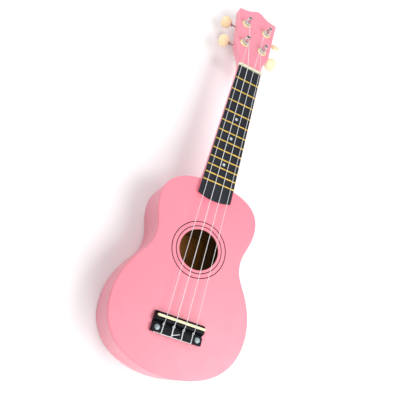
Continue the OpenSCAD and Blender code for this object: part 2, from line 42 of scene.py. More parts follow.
# ------------------------------------------------------------------ sizes, in millimetres, as in the design
ZT = 55.0                       # top of the soundboard
TOP_T, BACK_T, SIDE_T = 2.0, 2.2, 2.0
HOLE_R, HOLE_Y = 24.4, 87.3
RINGS = (28.3, 33.7)
SCALE = 345.0
BASE_T, BOARD_T = 2.3, 2.2
ZB = ZT + BASE_T + BOARD_T      # top of the fingerboard
W_NUT, W_12 = 32.7, 42.4
TILT = 12 * D2R
HEAD_Z, HEAD_T = ZT + 0.7, 12.5
POST_S = (47.8, 86.7, 86.7, 47.8)
POST_X = (-13.9, -16.1, 16.1, 13.9)
SIDE = (-1, -1, 1, 1)
POST_R = 3.0
GEAR_CD = 6.4
PLATE_T = 1.0
WORM_Z = -PLATE_T - 4.3
PITCH = 2 * GEAR_CD / 20 * math.pi
BUTTON_X = 24.2
BUTTON_TURN = (34, 28, -32, 42)
STRING_R = (0.3, 0.42, 0.37, 0.3)
SCREW_X, SCREW_Y = 24.3, -12.6
DECK = 5.0
BRIDGE_HALF = 30.2
SX = [(i - 1.5) * 12.0 for i in range(4)]
NX = [(i - 1.5) * 9.0 for i in range(4)]


def fret_y(n):
    return SCALE * 2 ** (-n / 12)


def board_half(y):
    return (W_NUT + (W_12 - W_NUT) * (SCALE - y) / (SCALE - fret_y(12))) / 2


# ------------------------------------------------------------------ camera, lights, floor
cam = bpy.data.cameras.new("camera")
cam_o = bpy.data.objects.new("camera", cam)
bpy.context.scene.collection.objects.link(cam_o)
cam.sensor_width = 36.0
cam.lens = 49.267
cam.clip_start, cam.clip_end = 0.05, 20
cam_o.matrix_world = Matrix((
    (0.884523, -0.372685, -0.280580, -0.199326),
    (0.256804, 0.891129, -0.374086, -0.099365),
    (0.389449, 0.258833, 0.883931, 0.578388 + ZT * MM),
    (0, 0, 0, 1)))
bpy.context.scene.camera = cam_o
bpy.context.scene.view_settings.view_transform = "Standard"
bpy.context.scene.view_settings.look = "None"


# ------------------------------------------------------------------ material helpers
def new_mat(name):
    m = bpy.data.materials.new(name)
    m.use_nodes = True
    nt = m.node_tree
    return m, nt, nt.nodes["Principled BSDF"]


def node(nt, kind, **kw):
    n = nt.nodes.new(kind)
    for k, v in kw.items():
        setattr(n, k, v)
    return n


def noise(nt, vec, scale, detail=4.0, rough=0.55, distortion=0.0):
    n = node(nt, "ShaderNodeTexNoise")
    n.inputs["Scale"].default_value = scale
    n.inputs["Detail"].default_value = detail
    n.inputs["Roughness"].default_value = rough
    n.inputs["Distortion"].default_value = distortion
    nt.links.new(vec, n.inputs["Vector"])
    return n


def coords(nt, scale=(1, 1, 1), rot=(0, 0, 0)):
    t = node(nt, "ShaderNodeTexCoord")
    mp = node(nt, "ShaderNodeMapping")
    mp.inputs["Scale"].default_value = scale
    mp.inputs["Rotation"].default_value = rot
    nt.links.new(t.outputs["Object"], mp.inputs["Vector"])
    return mp.outputs["Vector"]


def ramp(nt, fac, stops):
    r = node(nt, "ShaderNodeValToRGB")
    e = r.color_ramp.elements
    while len(e) > 1:
        e.remove(e[-1])
    e[0].position, e[0].color = stops[0][0], (*stops[0][1], 1)
    for p, c in stops[1:]:
        x = e.new(p)
        x.color = (*c, 1)
    nt.links.new(fac, r.inputs["Fac"])
    return r.outputs["Color"]


def remap(nt, fac, a, b, c, d):
    m = node(nt, "ShaderNodeMapRange")
    m.inputs["From Min"].default_value, m.inputs["From Max"].default_value = a, b
    m.inputs["To Min"].default_value, m.inputs["To Max"].default_value = c, d
    nt.links.new(fac, m.inputs["Value"])
    return m.outputs["Result"]


def math_node(nt, op, a, b=None, clamp=False):
    m = node(nt, "ShaderNodeMath", operation=op, use_clamp=clamp)
    for i, v in enumerate((a, b)):
        if v is None:
            continue
        if isinstance(v, (int, float)):
            m.inputs[i].default_value = v
        else:
            nt.links.new(v, m.inputs[i])
    return m.outputs[0]


def mix_col(nt, fac, a, b, blend="MIX"):
    m = node(nt, "ShaderNodeMix", data_type="RGBA", blend_type=blend)
    if isinstance(fac, (int, float)):
        m.inputs["Factor"].default_value = fac
    else:
        nt.links.new(fac, m.inputs["Factor"])
    for i, v in ((6, a), (7, b)):
        if isinstance(v, tuple):
            m.inputs[i].default_value = (*v, 1)
        else:
            nt.links.new(v, m.inputs[i])
    return m.outputs[2]


def bump(nt, bsdf, height, strength, dist, after=None):
    b = node(nt, "ShaderNodeBump")
    b.inputs["Strength"].default_value = strength
    b.inputs["Distance"].default_value = dist
    nt.links.new(height, b.inputs["Height"])
    if after is not None:
        nt.links.new(after, b.inputs["Normal"])
    nt.links.new(b.outputs["Normal"], bsdf.inputs["Normal"])
    return b.outputs["Normal"]


def paint(name, col, along=(900, 45, 900), vary=0.05, rough=(0.36, 0.46), spec=0.5):
    """Satin paint over wood: faint cloudiness, the grain just telegraphing through, a fine orange peel."""
    m, nt, b = new_mat(name)
    v = coords(nt)
    cloud = noise(nt, v, 14, 3)
    dark = tuple(c * (1 - vary) for c in col)
    lite = tuple(min(1, c * (1 + vary * 0.6)) for c in col)
    base = ramp(nt, cloud.outputs["Fac"], [(0.3, dark), (0.5, col), (0.72, lite)])
    g = noise(nt, coords(nt, along), 1.0, 3, 0.6)
    gm = ramp(nt, g.outputs["Fac"], [(0.35, (0.965, 0.955, 0.958)), (0.6, (1, 1, 1))])
    nt.links.new(mix_col(nt, 0.55, base, gm, "MULTIPLY"), b.inputs["Base Color"])
    rn = noise(nt, v, 60, 4)
    nt.links.new(remap(nt, rn.outputs["Fac"], 0.3, 0.7, *rough), b.inputs["Roughness"])
    peel = noise(nt, v, 900, 2)
    n1 = bump(nt, b, g.outputs["Fac"], 0.10, 0.0001)
    bump(nt, b, peel.outputs["Fac"], 0.10, 0.00008, after=n1)
    b.inputs["Specular IOR Level"].default_value = spec
    return m


def raw_wood(name, dark, mid, lite, along=(420, 22, 420)):
    m, nt, b = new_mat(name)
    g = noise(nt, coords(nt, along), 1.0, 6, 0.62, 0.4)
    big = noise(nt, coords(nt, (60, 6, 60)), 1.0, 3, 0.5, 0.8)
    c1 = ramp(nt, g.outputs["Fac"], [(0.28, dark), (0.5, mid), (0.75, lite)])
    c2 = ramp(nt, big.outputs["Fac"], [(0.3, (0.72, 0.68, 0.62)), (0.65, (1, 1, 1))])
    nt.links.new(mix_col(nt, 0.8, c1, c2, "MULTIPLY"), b.inputs["Base Color"])
    nt.links.new(remap(nt, g.outputs["Fac"], 0.3, 0.7, 0.62, 0.8), b.inputs["Roughness"])
    bump(nt, b, g.outputs["Fac"], 0.35, 0.00015)
    return m


def plastic(name, dark, lite, rough=(0.28, 0.36), scale=90, sss=0.0, spec=0.5, bump_s=0.05):
    m, nt, b = new_mat(name)
    v = coords(nt)
    n = noise(nt, v, scale, 4, 0.6, 0.5)
    nt.links.new(ramp(nt, n.outputs["Fac"], [(0.3, dark), (0.7, lite)]), b.inputs["Base Color"])
    r = noise(nt, v, scale * 4, 3)
    nt.links.new(remap(nt, r.outputs["Fac"], 0.3, 0.7, *rough), b.inputs["Roughness"])
    bump(nt, b, r.outputs["Fac"], bump_s, 0.0001)
    b.inputs["Specular IOR Level"].default_value = spec
    if sss:
        b.inputs["Subsurface Weight"].default_value = sss
        b.inputs["Subsurface Radius"].default_value = (0.0015, 0.001, 0.0006)
        b.inputs["Subsurface Scale"].default_value = 1.0
    return m


def metal(name, dark, lite, rough=(0.08, 0.16), brush=(60, 60, 1800), bump_s=0.03, metallic=1.0):
    m, nt, b = new_mat(name)
    v = coords(nt, brush)
    n = noise(nt, v, 1.0, 4)
    n2 = noise(nt, coords(nt), 160, 3)
    nt.links.new(ramp(nt, n2.outputs["Fac"], [(0.3, dark), (0.65, lite)]), b.inputs["Base Color"])
    nt.links.new(remap(nt, n.outputs["Fac"], 0.3, 0.7, *rough), b.inputs["Roughness"])
    bump(nt, b, n.outputs["Fac"], bump_s, 0.00005)
    b.inputs["Metallic"].default_value = metallic
    return m


PINK = (0.90, 0.25, 0.325)
M_TOP = paint("pink_top_paint", PINK, spec=0.85)
M_SIDE = paint("pink_side_paint", (0.88, 0.32, 0.40), along=(300, 300, 60), vary=0.06)
M_NECK = paint("pink_neck_paint", (0.90, 0.315, 0.40), vary=0.05)
M_RAW = raw_wood("inner_wood_raw", (0.17, 0.078, 0.022), (0.32, 0.155, 0.045), (0.48, 0.26, 0.09))
M_RAWX = raw_wood("inner_wood_crosswise", (0.19, 0.09, 0.028), (0.36, 0.18, 0.06), (0.5, 0.29, 0.12), along=(22, 420, 420))
M_RING = plastic("ring_inlay", (0.022, 0.006, 0.010), (0.045, 0.012, 0.018), rough=(0.45, 0.55), spec=0.25)
M_BOARD = None
M_CREAM = plastic("button_cream", (0.83, 0.66, 0.39), (0.89, 0.74, 0.48), rough=(0.22, 0.3), scale=140, sss=0.25)
M_WASH = plastic("washer_cream", (0.80, 0.63, 0.36), (0.88, 0.74, 0.48), rough=(0.32, 0.42), scale=200, sss=0.15)
M_NUT = plastic("nut_cream", (0.78, 0.74, 0.52), (0.88, 0.85, 0.66), rough=(0.3, 0.4), scale=260, sss=0.15)
M_SADDLE = plastic("saddle_cream", (0.84, 0.765, 0.47), (0.90, 0.85, 0.60), rough=(0.32, 0.42), scale=260, sss=0.15)
M_BRIDGE = plastic("bridge_black", (0.0035, 0.004, 0.0062), (0.0075, 0.0085, 0.012), rough=(0.32, 0.42), scale=300, bump_s=0.12, spec=0.11)
M_CHROME = metal("tuner_chrome", (0.62, 0.63, 0.65), (0.78, 0.79, 0.8))
# post chrome darkened and tinted red: painted reflection of the pink head and the dark room behind it
M_POST_PAINTED_REFLECTION = metal("post_chrome", (0.50, 0.45, 0.45), (0.70, 0.64, 0.64), rough=(0.04, 0.09))
M_STEEL = metal("screw_steel", (0.25, 0.305, 0.33), (0.36, 0.425, 0.45), rough=(0.5, 0.62), brush=(900, 900, 900), bump_s=0.1)
M_SHAFT = metal("shaft_steel", (0.55, 0.56, 0.58), (0.72, 0.73, 0.75), rough=(0.14, 0.24), brush=(2200, 60, 60))
# ferrule steel darkened and tinted red: painted reflection of the pink head
M_FERRULE_PAINTED_REFLECTION = metal("ferrule_steel_painted_reflection", (0.34, 0.29, 0.29), (0.50, 0.43, 0.43), rough=(0.10, 0.18), brush=(2200, 60, 60))
M_BRASS = metal("gear_brass", (0.55, 0.36, 0.10), (0.74, 0.53, 0.2), rough=(0.2, 0.34), brush=(400, 400, 900), bump_s=0.08)
M_FRET = metal("fret_brass", (0.54, 0.36, 0.065), (0.70, 0.48, 0.12), rough=(0.34, 0.46), brush=(60, 1200, 1200), bump_s=0.05)
M_DOT = plastic("dot_pearl", (0.40, 0.46, 0.47), (0.60, 0.66, 0.67), rough=(0.18, 0.28), scale=700)


def board_mat():
    m, nt, b = new_mat("black_board_wood")
    g = noise(nt, coords(nt, (1500, 60, 1500)), 1.0, 6, 0.65, 0.3)
    w = noise(nt, coords(nt), 30, 4)
    c = ramp(nt, g.outputs["Fac"], [(0.3, (0.006, 0.008, 0.012)), (0.55, (0.010, 0.013, 0.020)), (0.8, (0.019, 0.023, 0.032))])
    wear = ramp(nt, w.outputs["Fac"], [(0.35, (0.8, 0.8, 0.82)), (0.7, (1.25, 1.25, 1.25))])
    nt.links.new(mix_col(nt, 0.7, c, wear, "MULTIPLY"), b.inputs["Base Color"])
    nt.links.new(remap(nt, g.outputs["Fac"], 0.3, 0.7, 0.42, 0.58), b.inputs["Roughness"])
    bump(nt, b, g.outputs["Fac"], 0.22, 0.00012)
    b.inputs["Specular IOR Level"].default_value = 0.4
    return m


def nylon_mat():
    m, nt, b = new_mat("string_nylon")
    n = noise(nt, coords(nt), 500, 3)
    nt.links.new(ramp(nt, n.outputs["Fac"], [(0.3, (0.80, 0.82, 0.84)), (0.7, (0.93, 0.94, 0.95))]), b.inputs["Base Color"])
    nt.links.new(remap(nt, n.outputs["Fac"], 0.3, 0.7, 0.32, 0.42), b.inputs["Roughness"])
    b.inputs["Transmission Weight"].default_value = 0.1
    b.inputs["IOR"].default_value = 1.53
    return m


def label_mat():
    """Plain kraft label with a thin printed frame and no lettering."""
    m, nt, b = new_mat("label_paper")
    t = node(nt, "ShaderNodeTexCoord")
    sp = node(nt, "ShaderNodeSeparateXYZ")
    nt.links.new(t.outputs["Object"], sp.inputs[0])
    ax = math_node(nt, "ABSOLUTE", sp.outputs[0])
    ay = math_node(nt, "ABSOLUTE", math_node(nt, "SUBTRACT", sp.outputs[1], 0.089))
    dx = math_node(nt, "SUBTRACT", ax, 0.0236)
    dy = math_node(nt, "SUBTRACT", ay, 0.0285)
    edge = math_node(nt, "ABSOLUTE", math_node(nt, "MAXIMUM", dx, dy))
    line = math_node(nt, "LESS_THAN", edge, 0.00045)
    edge2 = math_node(nt, "ABSOLUTE", math_node(nt, "ADD", math_node(nt, "MAXIMUM", dx, dy), 0.0016))
    line2 = math_node(nt, "LESS_THAN", edge2, 0.0002)
    both = math_node(nt, "MAXIMUM", line, line2)
    fib = noise(nt, coords(nt, (300, 900, 300)), 1.0, 5, 0.7)
    paper = ramp(nt, fib.outputs["Fac"], [(0.3, (0.38, 0.140, 0.014)), (0.7, (0.52, 0.205, 0.024))])
    nt.links.new(mix_col(nt, both, paper, (0.018, 0.010, 0.006)), b.inputs["Base Color"])
    nt.links.new(remap(nt, fib.outputs["Fac"], 0.3, 0.7, 0.6, 0.75), b.inputs["Roughness"])
    bump(nt, b, fib.outputs["Fac"], 0.15, 0.00008)
    return m


M_BOARD, M_NYLON, M_LABEL = board_mat(), nylon_mat(), label_mat()


# ------------------------------------------------------------------ mesh helpers
def make(name, verts, faces, mats, body="body", replaces=(), mat_idx=None, sharp=38, weighted=True, matrix=None):
    """A piece from points in millimetres. Faces over `sharp` degrees apart keep a crisp edge."""
    me = bpy.data.meshes.new(name)
    v = np.asarray(verts, float) * MM
    me.from_pydata([tuple(p) for p in v], [], [tuple(int(i) for i in f) for f in faces])
    for m in (mats if isinstance(mats, (list, tuple)) else [mats]):
        me.materials.append(m)
    if mat_idx is not None:
        me.polygons.foreach_set("material_index", np.asarray(mat_idx, np.int32))
    bm = bmesh.new()
    bm.from_mesh(me)
    bmesh.ops.remove_doubles(bm, verts=bm.verts, dist=1e-7)
    bmesh.ops.dissolve_degenerate(bm, edges=bm.edges, dist=1e-8)
    bmesh.ops.recalc_face_normals(bm, faces=bm.faces)
    for f in bm.faces:
        f.smooth = True
    for e in bm.edges:
        if len(e.link_faces) == 2:
            if e.calc_face_angle(0) > sharp * D2R:
                e.smooth = False
    bm.to_mesh(me)
    bm.free()
    o = bpy.data.objects.new(name, me)
    bpy.context.scene.collection.objects.link(o)
    if matrix is not None:
        me.transform(matrix)
    if weighted:
        w = o.modifiers.new("normals", "WEIGHTED_NORMAL")
        w.keep_sharp = True
        w.weight = 50
    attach(o, body)
    if replaces:
        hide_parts(*replaces)
    return o


def loops_to_faces(n_loops, n, closed=True, start=0):
    """Quads between successive loops of n points each."""
    f = []
    m = n if closed else n - 1
    for i in range(n_loops - 1):
        for k in range(m):
            a, b = start + i * n + k, start + i * n + (k + 1) % n
            f.append((a, b, b + n, a + n))
    return f


def solid_from_loops(loops, cap_start=True, cap_end=True):
    n = len(loops[0])
    v = np.concatenate([np.asarray(l, float) for l in loops])
    f = loops_to_faces(len(loops), n)
    if cap_start:
        f.append(tuple(range(n))[::-1])
    if cap_end:
        s = (len(loops) - 1) * n
        f.append(tuple(range(s, s + n)))
    return v, f


def join(parts):
    """Several (verts, faces) as one."""
    V, F, off = [], [], 0
    for v, f in parts:
        v = np.asarray(v, float)
        V.append(v)
        F += [tuple(i + off for i in q) for q in f]
        off += len(v)
    return np.concatenate(V), F


def inset2(p, d):
    """Inward offset of an anticlockwise closed outline."""
    p = np.asarray(p, float)
    t = np.roll(p, -1, 0) - np.roll(p, 1, 0)
    t /= np.linalg.norm(t, axis=1)[:, None]
    return p + d * np.stack([-t[:, 1], t[:, 0]], 1)


def at_z(p, z):
    p = np.asarray(p, float)
    return np.column_stack([p, np.full(len(p), z)])


def plate(outline, z0, z1, rt=0.3, rb=0.3, n=4):
    """A flat plate with rounded top and bottom edges."""
    L = []
    if rb > 0:
        for k in range(n + 1):
            a = k / n * math.pi / 2
            L.append(at_z(inset2(outline, rb * (1 - math.sin(a))), z0 + rb * (1 - math.cos(a))))
    else:
        L.append(at_z(outline, z0))
    if rt > 0:
        for k in range(n + 1):
            a = k / n * math.pi / 2
            L.append(at_z(inset2(outline, rt * (1 - math.cos(a))), z1 - rt * (1 - math.sin(a))))
    else:
        L.append(at_z(outline, z1))
    return solid_from_loops(L)


def lathe(profile, n=48, a0=0.0):
    """A closed solid of revolution about Z from (r, z) points that start and end on the axis."""
    prof = list(profile)
    V, F = [], []
    ang = np.arange(n) / n * 2 * math.pi + a0
    rows = []
    for r, z in prof:
        if r < 1e-9:
            rows.append([len(V)])
            V.append((0, 0, z))
        else:
            rows.append(list(range(len(V), len(V) + n)))
            V += [(r * math.cos(a), r * math.sin(a), z) for a in ang]
    for a, b in zip(rows[:-1], rows[1:]):
        for k in range(n):
            k2 = (k + 1) % n
            if len(a) == 1 and len(b) == 1:
                continue
            if len(a) == 1:
                F.append((a[0], b[k2], b[k]))
            elif len(b) == 1:
                F.append((a[k], a[k2], b[0]))
            else:
                F.append((a[k], a[k2], b[k2], b[k]))
    return np.array(V), F


def ring_lathe(profile, n=64):
    """A closed ring of revolution about Z from a closed (r, z) profile."""
    m = len(profile)
    V = [(r * math.cos(k / n * 2 * math.pi), r * math.sin(k / n * 2 * math.pi), z) for k in range(n) for r, z in profile]
    F = [(k * m + i, ((k + 1) % n) * m + i, ((k + 1) % n) * m + (i + 1) % m, k * m + (i + 1) % m) for k in range(n) for i in range(m)]
    return np.array(V), F


def spline(pts, per=8, closed=False):
    """Catmull-Rom curve through points of any dimension (centripetal-ish by uniform parameter)."""
    P = [np.asarray(p, float) for p in pts]
    n = len(P)
    out = []
    rng = range(n) if closed else range(n - 1)
    for i in rng:
        if closed:
            a, b, c, d = P[(i - 1) % n], P[i], P[(i + 1) % n], P[(i + 2) % n]
        else:
            a = P[i - 1] if i > 0 else 2 * P[0] - P[1]
            b, c = P[i], P[i + 1]
            d = P[i + 2] if i + 2 < n else 2 * P[-1] - P[-2]
        for t in np.arange(per) / per:
            out.append(0.5 * (2 * b + (c - a) * t + (2 * a - 5 * b + 4 * c - d) * t * t + (3 * b - a - 3 * c + d) * t ** 3))
    if not closed:
        out.append(P[-1])
    return np.array(out)


def tube(path, r, n=10, caps=True):
    """A round tube along a path, with a frame carried along it."""
    P = np.asarray(path, float)
    m = len(P)
    rad = np.full(m, r) if np.isscalar(r) else np.asarray(r, float)
    T = np.zeros_like(P)
    T[1:-1] = P[2:] - P[:-2]
    T[0], T[-1] = P[1] - P[0], P[-1] - P[-2]
    T /= np.linalg.norm(T, axis=1)[:, None]
    a = np.cross(T[0], [0.13, 0.21, 0.97])
    a /= np.linalg.norm(a)
    L = []
    for i in range(m):
        a = a - T[i] * (a @ T[i])
        a /= np.linalg.norm(a)
        b = np.cross(T[i], a)
        k = np.arange(n) / n * 2 * math.pi
        L.append(P[i] + rad[i] * (np.cos(k)[:, None] * a + np.sin(k)[:, None] * b))
    if caps:  # rounded ends
        L = [P[0] - T[0] * rad[0] * 0.35 + (L[0] - P[0]) * 0.55] + L + [P[-1] + T[-1] * rad[-1] * 0.35 + (L[-1] - P[-1]) * 0.55]
    return solid_from_loops(L)


def xf(part, matrix):
    v, f = part
    v = np.asarray(v, float)
    M = np.array(matrix, float)
    out = v @ M[:3, :3].T + M[:3, 3]
    if np.linalg.det(M[:3, :3]) < 0:
        f = [tuple(reversed(q)) for q in f]
    return out, f


HEAD_M = np.array(Matrix.Translation((0, SCALE, HEAD_Z)) @ Matrix.Rotation(-TILT, 4, "X"))


def machine_matrix(i, at_face=False):
    """Local frame of one tuning machine: origin on the post's axis at the head's back, +x outboard, +y to the tip, +z out of the face."""
    m = Matrix(HEAD_M) @ Matrix.Translation((POST_X[i], POST_S[i], 0 if at_face else -HEAD_T))
    if SIDE[i] < 0:
        m = m @ Matrix.Diagonal((-1, 1, 1, 1))
    return m


ROT_X_AXIS = Matrix.Rotation(math.pi / 2, 4, "Y")      # turns a lathe's Z axis onto +X

# ------------------------------------------------------------------ body outline
CP = [(0, -60), (20, -58.5), (42.5, -52.5), (62.5, -41.5), (77.5, -23.5), (84.5, 1), (82.5, 29), (71.5, 54), (58.5, 71), (54.5, 85.5),
      (56, 100.5), (61.5, 114.5), (64.5, 130), (63.5, 146), (55.5, 160), (40, 169.5), (20.5, 174), (0, 174)]
LOOP = np.array(CP + [(-x, y) for x, y in CP[-2:0:-1]], float)


def closed_bspline(P, n):
    out = []
    N = len(P)
    for i in range(N):
        a, b, c, d = P[(i - 1) % N], P[i], P[(i + 1) % N], P[(i + 2) % N]
        for t in np.arange(n) / n:
            out.append(((1 - t) ** 3 * a + (3 * t ** 3 - 6 * t * t + 4) * b + (-3 * t ** 3 + 3 * t * t + 3 * t + 1) * c + t ** 3 * d) / 6)
    return np.array(out)


NS = 12
OUT = closed_bspline(LOOP, NS)
NO = len(OUT)
ctr = np.array([0, HOLE_Y])
dirs = OUT - ctr
dirs /= np.linalg.norm(dirs, axis=1)[:, None]


def circle_loop(r, z):
    return at_z(ctr + dirs * r, z)


def blend_loop(r, d, t, z):
    return at_z((ctr + dirs * r) * (1 - t) + inset2(OUT, d) * t, z)


# soundboard: hole edge, two shallow grooves for the rings, rounded outer edge
RT = 1.5
L, tag = [], []
z = ZT
top_loops = [circle_loop(24.7, z - 2.0), circle_loop(24.4, z - 1.8), circle_loop(24.4, z - 0.4), circle_loop(24.47, z - 0.18), circle_loop(24.62, z - 0.05), circle_loop(24.85, z),
             circle_loop(27.72, z), circle_loop(27.75, z - 0.16), circle_loop(28.85, z - 0.16), circle_loop(28.88, z),
             circle_loop(33.12, z), circle_loop(33.15, z - 0.16), circle_loop(34.25, z - 0.16), circle_loop(34.28, z)]
top_loops += [blend_loop(34.28, RT, t, z) for t in (0.3, 0.6, 0.85)]
for k in range(6):
    a = k / 5 * math.pi / 2
    top_loops.append(at_z(inset2(OUT, RT * (1 - math.sin(a))), z - RT * (1 - math.cos(a))))
top_loops.append(at_z(OUT, z - 2.0))
n_outer = len(top_loops)
top_loops += [blend_loop(24.7, 2.0, t, z - 2.0) for t in (1.0, 0.6, 0.3)]
V, F = solid_from_loops(top_loops, False, False)
last = (len(top_loops) - 1) * NO
F += [(last + k, last + (k + 1) % NO, (k + 1) % NO, k) for k in range(NO)]
idx = [(1 if (q[0] // NO < 2 or q[0] // NO >= n_outer - 1) else 0) for q in F]
make("soundboard_top", V, F, [M_TOP, M_RAW], replaces=("soundboard",), mat_idx=idx, sharp=50)

# inlaid rings
parts = []
for r in RINGS:
    parts.append(xf(ring_lathe([(r - 0.54, ZT - 0.5), (r + 0.54, ZT - 0.5), (r + 0.54, ZT - 0.06), (r + 0.49, ZT - 0.01), (r - 0.49, ZT - 0.01), (r - 0.54, ZT - 0.06)], 160), Matrix.Translation((0, HOLE_Y, 0))))
V, F = join(parts)
make("rosette_inlay", V, F, M_RING, replaces=("rosette_rings",))

# bent sides, painted outside and raw inside
half = NO // 2
for nm, sl in (("side_right", slice(0, half + 1)), ("side_left", None)):
    idxs = np.arange(0, half + 1) if sl is not None else np.concatenate([np.arange(half, NO), [0]])
    o2, i2 = OUT[idxs], inset2(OUT, SIDE_T)[idxs]
    zs = np.linspace(BACK_T, ZT - TOP_T, 7)
    rows = [at_z(o2, zz) for zz in zs] + [at_z(i2, zz) for zz in zs[::-1]]
    n = len(idxs)
    V = np.concatenate(rows)
    F = loops_to_faces(len(rows), n, closed=False)
    lastr = (len(rows) - 1) * n
    F += [(lastr + k, lastr + k + 1, k + 1, k) for k in range(n - 1)]
    F += [tuple(i * n for i in range(len(rows))), tuple(i * n + n - 1 for i in range(len(rows)))[::-1]]
    idx = [0 if q[0] // n < len(zs) - 1 and len(q) == 4 else 1 for q in F]
    make(nm + "_rib", V, F, [M_SIDE, M_RAW], replaces=(nm,), mat_idx=idx)

# back plate with a rounded lower edge
L = []
for k in range(6):
    a = k / 5 * math.pi / 2
    L.append(at_z(inset2(OUT, RT * (1 - math.sin(a))), RT * (1 - math.cos(a))))
L += [at_z(OUT, BACK_T), at_z(inset2(OUT, 2.5), BACK_T)]
V, F = solid_from_loops(L)
idx = [0] * len(F)
idx[-1] = 1
for k in range(len(F) - 2 - NO, len(F) - 2):
    idx[k] = 1
make("back_panel", V, F, [M_SIDE, M_RAW], replaces=("back_plate",), mat_idx=idx, sharp=50)

# inner pieces keep their CAD shapes
for n in ("neck_block", "tail_block", "top_linings", "back_linings"):
    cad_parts[n].data.materials.clear()
    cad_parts[n].data.materials.append(M_RAW)
for n in ("top_braces", "back_braces", "bridge_plate"):
    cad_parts[n].data.materials.clear()
    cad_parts[n].data.materials.append(M_RAWX)
for n, m in (("interior_label", M_LABEL), ("bridge_washers", M_STEEL), ("bridge_nuts", M_STEEL), ("tuner_screws", M_STEEL)):
    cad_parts[n].data.materials.clear()
    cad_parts[n].data.materials.append(m)

# ------------------------------------------------------------------ neck with heel and head, one lofted skin
NT, NSD = 25, 13
HP = [(17.5, 0), (17.6, 8), (18, 16), (19.8, 25), (24, 35), (26, 46), (26.8, 60), (27.8, 76), (29, 95), (30.4, 112)]
hp = spline(HP, 10)


def head_half(s):
    return float(np.interp(s, hp[:, 1], hp[:, 0]))


CROWN = spline([(0, 125.6), (4, 124.5), (9, 121), (16, 117.2), (23, 115.5), (27.5, 115.2), (30.4, 113.6)], 10)


def crown(x):
    return float(np.interp(abs(x), CROWN[:, 0], CROWN[:, 1]))


def section(w, d, b, rt, rb, nexp=2.3):
    """Closed section, (x, depth) pairs: top row left to right, right side down, bottom row right to left, left side up.
    b runs from 0, a half-round neck, to 1, a slab with rounded edges."""
    top = []
    for k in range(NT):
        u = -1 + 2 * k / (NT - 1)
        top.append((u * (w - rt), 0.0))
    # half-round
    def dee(th):
        c, s = math.cos(th), math.sin(th)
        return (math.copysign(abs(c) ** (2 / nexp), c) * w, abs(s) ** (2 / nexp) * d)
    side_d = [dee(k / (NSD - 1) * math.pi / 4) for k in range(NSD)]
    bot_d = [dee(math.pi / 4 + k / (NT - 1) * math.pi / 2) for k in range(NT)]
    # slab
    side_s = []
    na, nb = 4, 5
    for k in range(na):
        a = k / (na - 1) * math.pi / 2
        side_s.append((w - rt + rt * math.sin(a), rt - rt * math.cos(a)))
    m = NSD - na - nb
    for k in range(m):
        side_s.append((w, rt + (d - rt - rb) * (k + 1) / (m + 1)))
    for k in range(nb):
        a = k / (nb - 1) * math.pi / 2
        side_s.append((w - rb + rb * math.cos(a), d - rb + rb * math.sin(a)))
    bot_s = [((w - rb) * (1 - 2 * k / (NT - 1)), d) for k in range(NT)]
    right = [tuple((1 - b) * np.array(p) + b * np.array(q)) for p, q in zip(side_d, side_s)]
    bot = [tuple((1 - b) * np.array(p) + b * np.array(q)) for p, q in zip(bot_d, bot_s)]
    left = [(-x, y) for x, y in right[::-1]]
    return top, right, bot, left


stations = []       # each: list of 3D points


def add_station(p_out, p_in, w, b, rt, rb, nexp=2.3, bend=None):
    """p_out, p_in: (y, z) of the flat side and of the far side."""
    po, pi = np.array(p_out, float), np.array(p_in, float)
    d = np.linalg.norm(pi - po)
    dn = (pi - po) / d
    top, right, bot, left = section(w, d, b, rt, rb, nexp)
    pts = []
    for x, dep in top + right + bot + left:
        q = po + dn * dep
        if bend is not None:
            q = q + bend(x)
        pts.append((x, q[0], q[1]))
    stations.append(pts)


def smooth(a, b, x):
    t = min(1, max(0, (x - a) / (b - a)))
    return t * t * (3 - 2 * t)


# heel: planes turn about a pivot, from the heel cap up to the neck
PV = np.array([216.0, 6.0])
HEEL_IN = spline([(174.0 + 3.4, 9.0), (177.9, 14), (179.4, 21), (183.2, 29), (190.5, 35.2), (201, 38.6), (216, 39.7)], 10)   # concave profile, seen from the side
BODY_END = 173.75
heel = []
a_corner = math.atan2(ZT - PV[1], BODY_END - PV[0])
angs = list(np.linspace(math.atan2(9.0 - PV[1], BODY_END - PV[0]), a_corner, 16)) + list(np.linspace(a_corner, math.pi / 2, 12))[1:]
ang_in = np.arctan2(HEEL_IN[:, 1] - PV[1], HEEL_IN[:, 0] - PV[0])
order = np.argsort(ang_in)
for a in angs:
    if a > a_corner - 1e-9:
        t = (BODY_END - PV[0]) / math.cos(a)
        po = PV + t * np.array([math.cos(a), math.sin(a)])
    else:
        t = (ZT - PV[1]) / math.sin(a)
        po = PV + t * np.array([math.cos(a), math.sin(a)])
    iy = np.interp(a, ang_in[order], HEEL_IN[order, 0])
    iz = np.interp(a, ang_in[order], HEEL_IN[order, 1])
    w_full = board_half(max(po[0], 174))
    w = w_full if po[1] >= ZT - 1e-6 else 10.5 + (w_full - 10.5) * (max(0.0, po[1] - 9.0) / (ZT - 9.0)) ** 0.8
    heel.append((po, (iy, iz), w))
for po, pi, w in heel:
    add_station(po, pi, w, 0.0, 0.0, 1.0, nexp=2.3)
first = np.array(stations[0])
mid_pt = first.mean(0)
for k in range(5):
    a = (k + 1) / 5 * math.pi / 2
    inn, down = 1.3 * (1 - math.cos(a)), 1.3 * math.sin(a)
    L = first.copy()
    far = np.clip((L[:, 1] - BODY_END) / 0.6, 0, 1)
    d2 = (L - mid_pt) * np.array([1, 1, 0])
    d2 /= np.maximum(np.linalg.norm(d2, axis=1), 1e-6)[:, None]
    L[:, 0] -= d2[:, 0] * inn
    L[:, 1] -= d2[:, 1] * inn * far
    L[:, 2] -= down
    stations.insert(0, [tuple(q) for q in L])
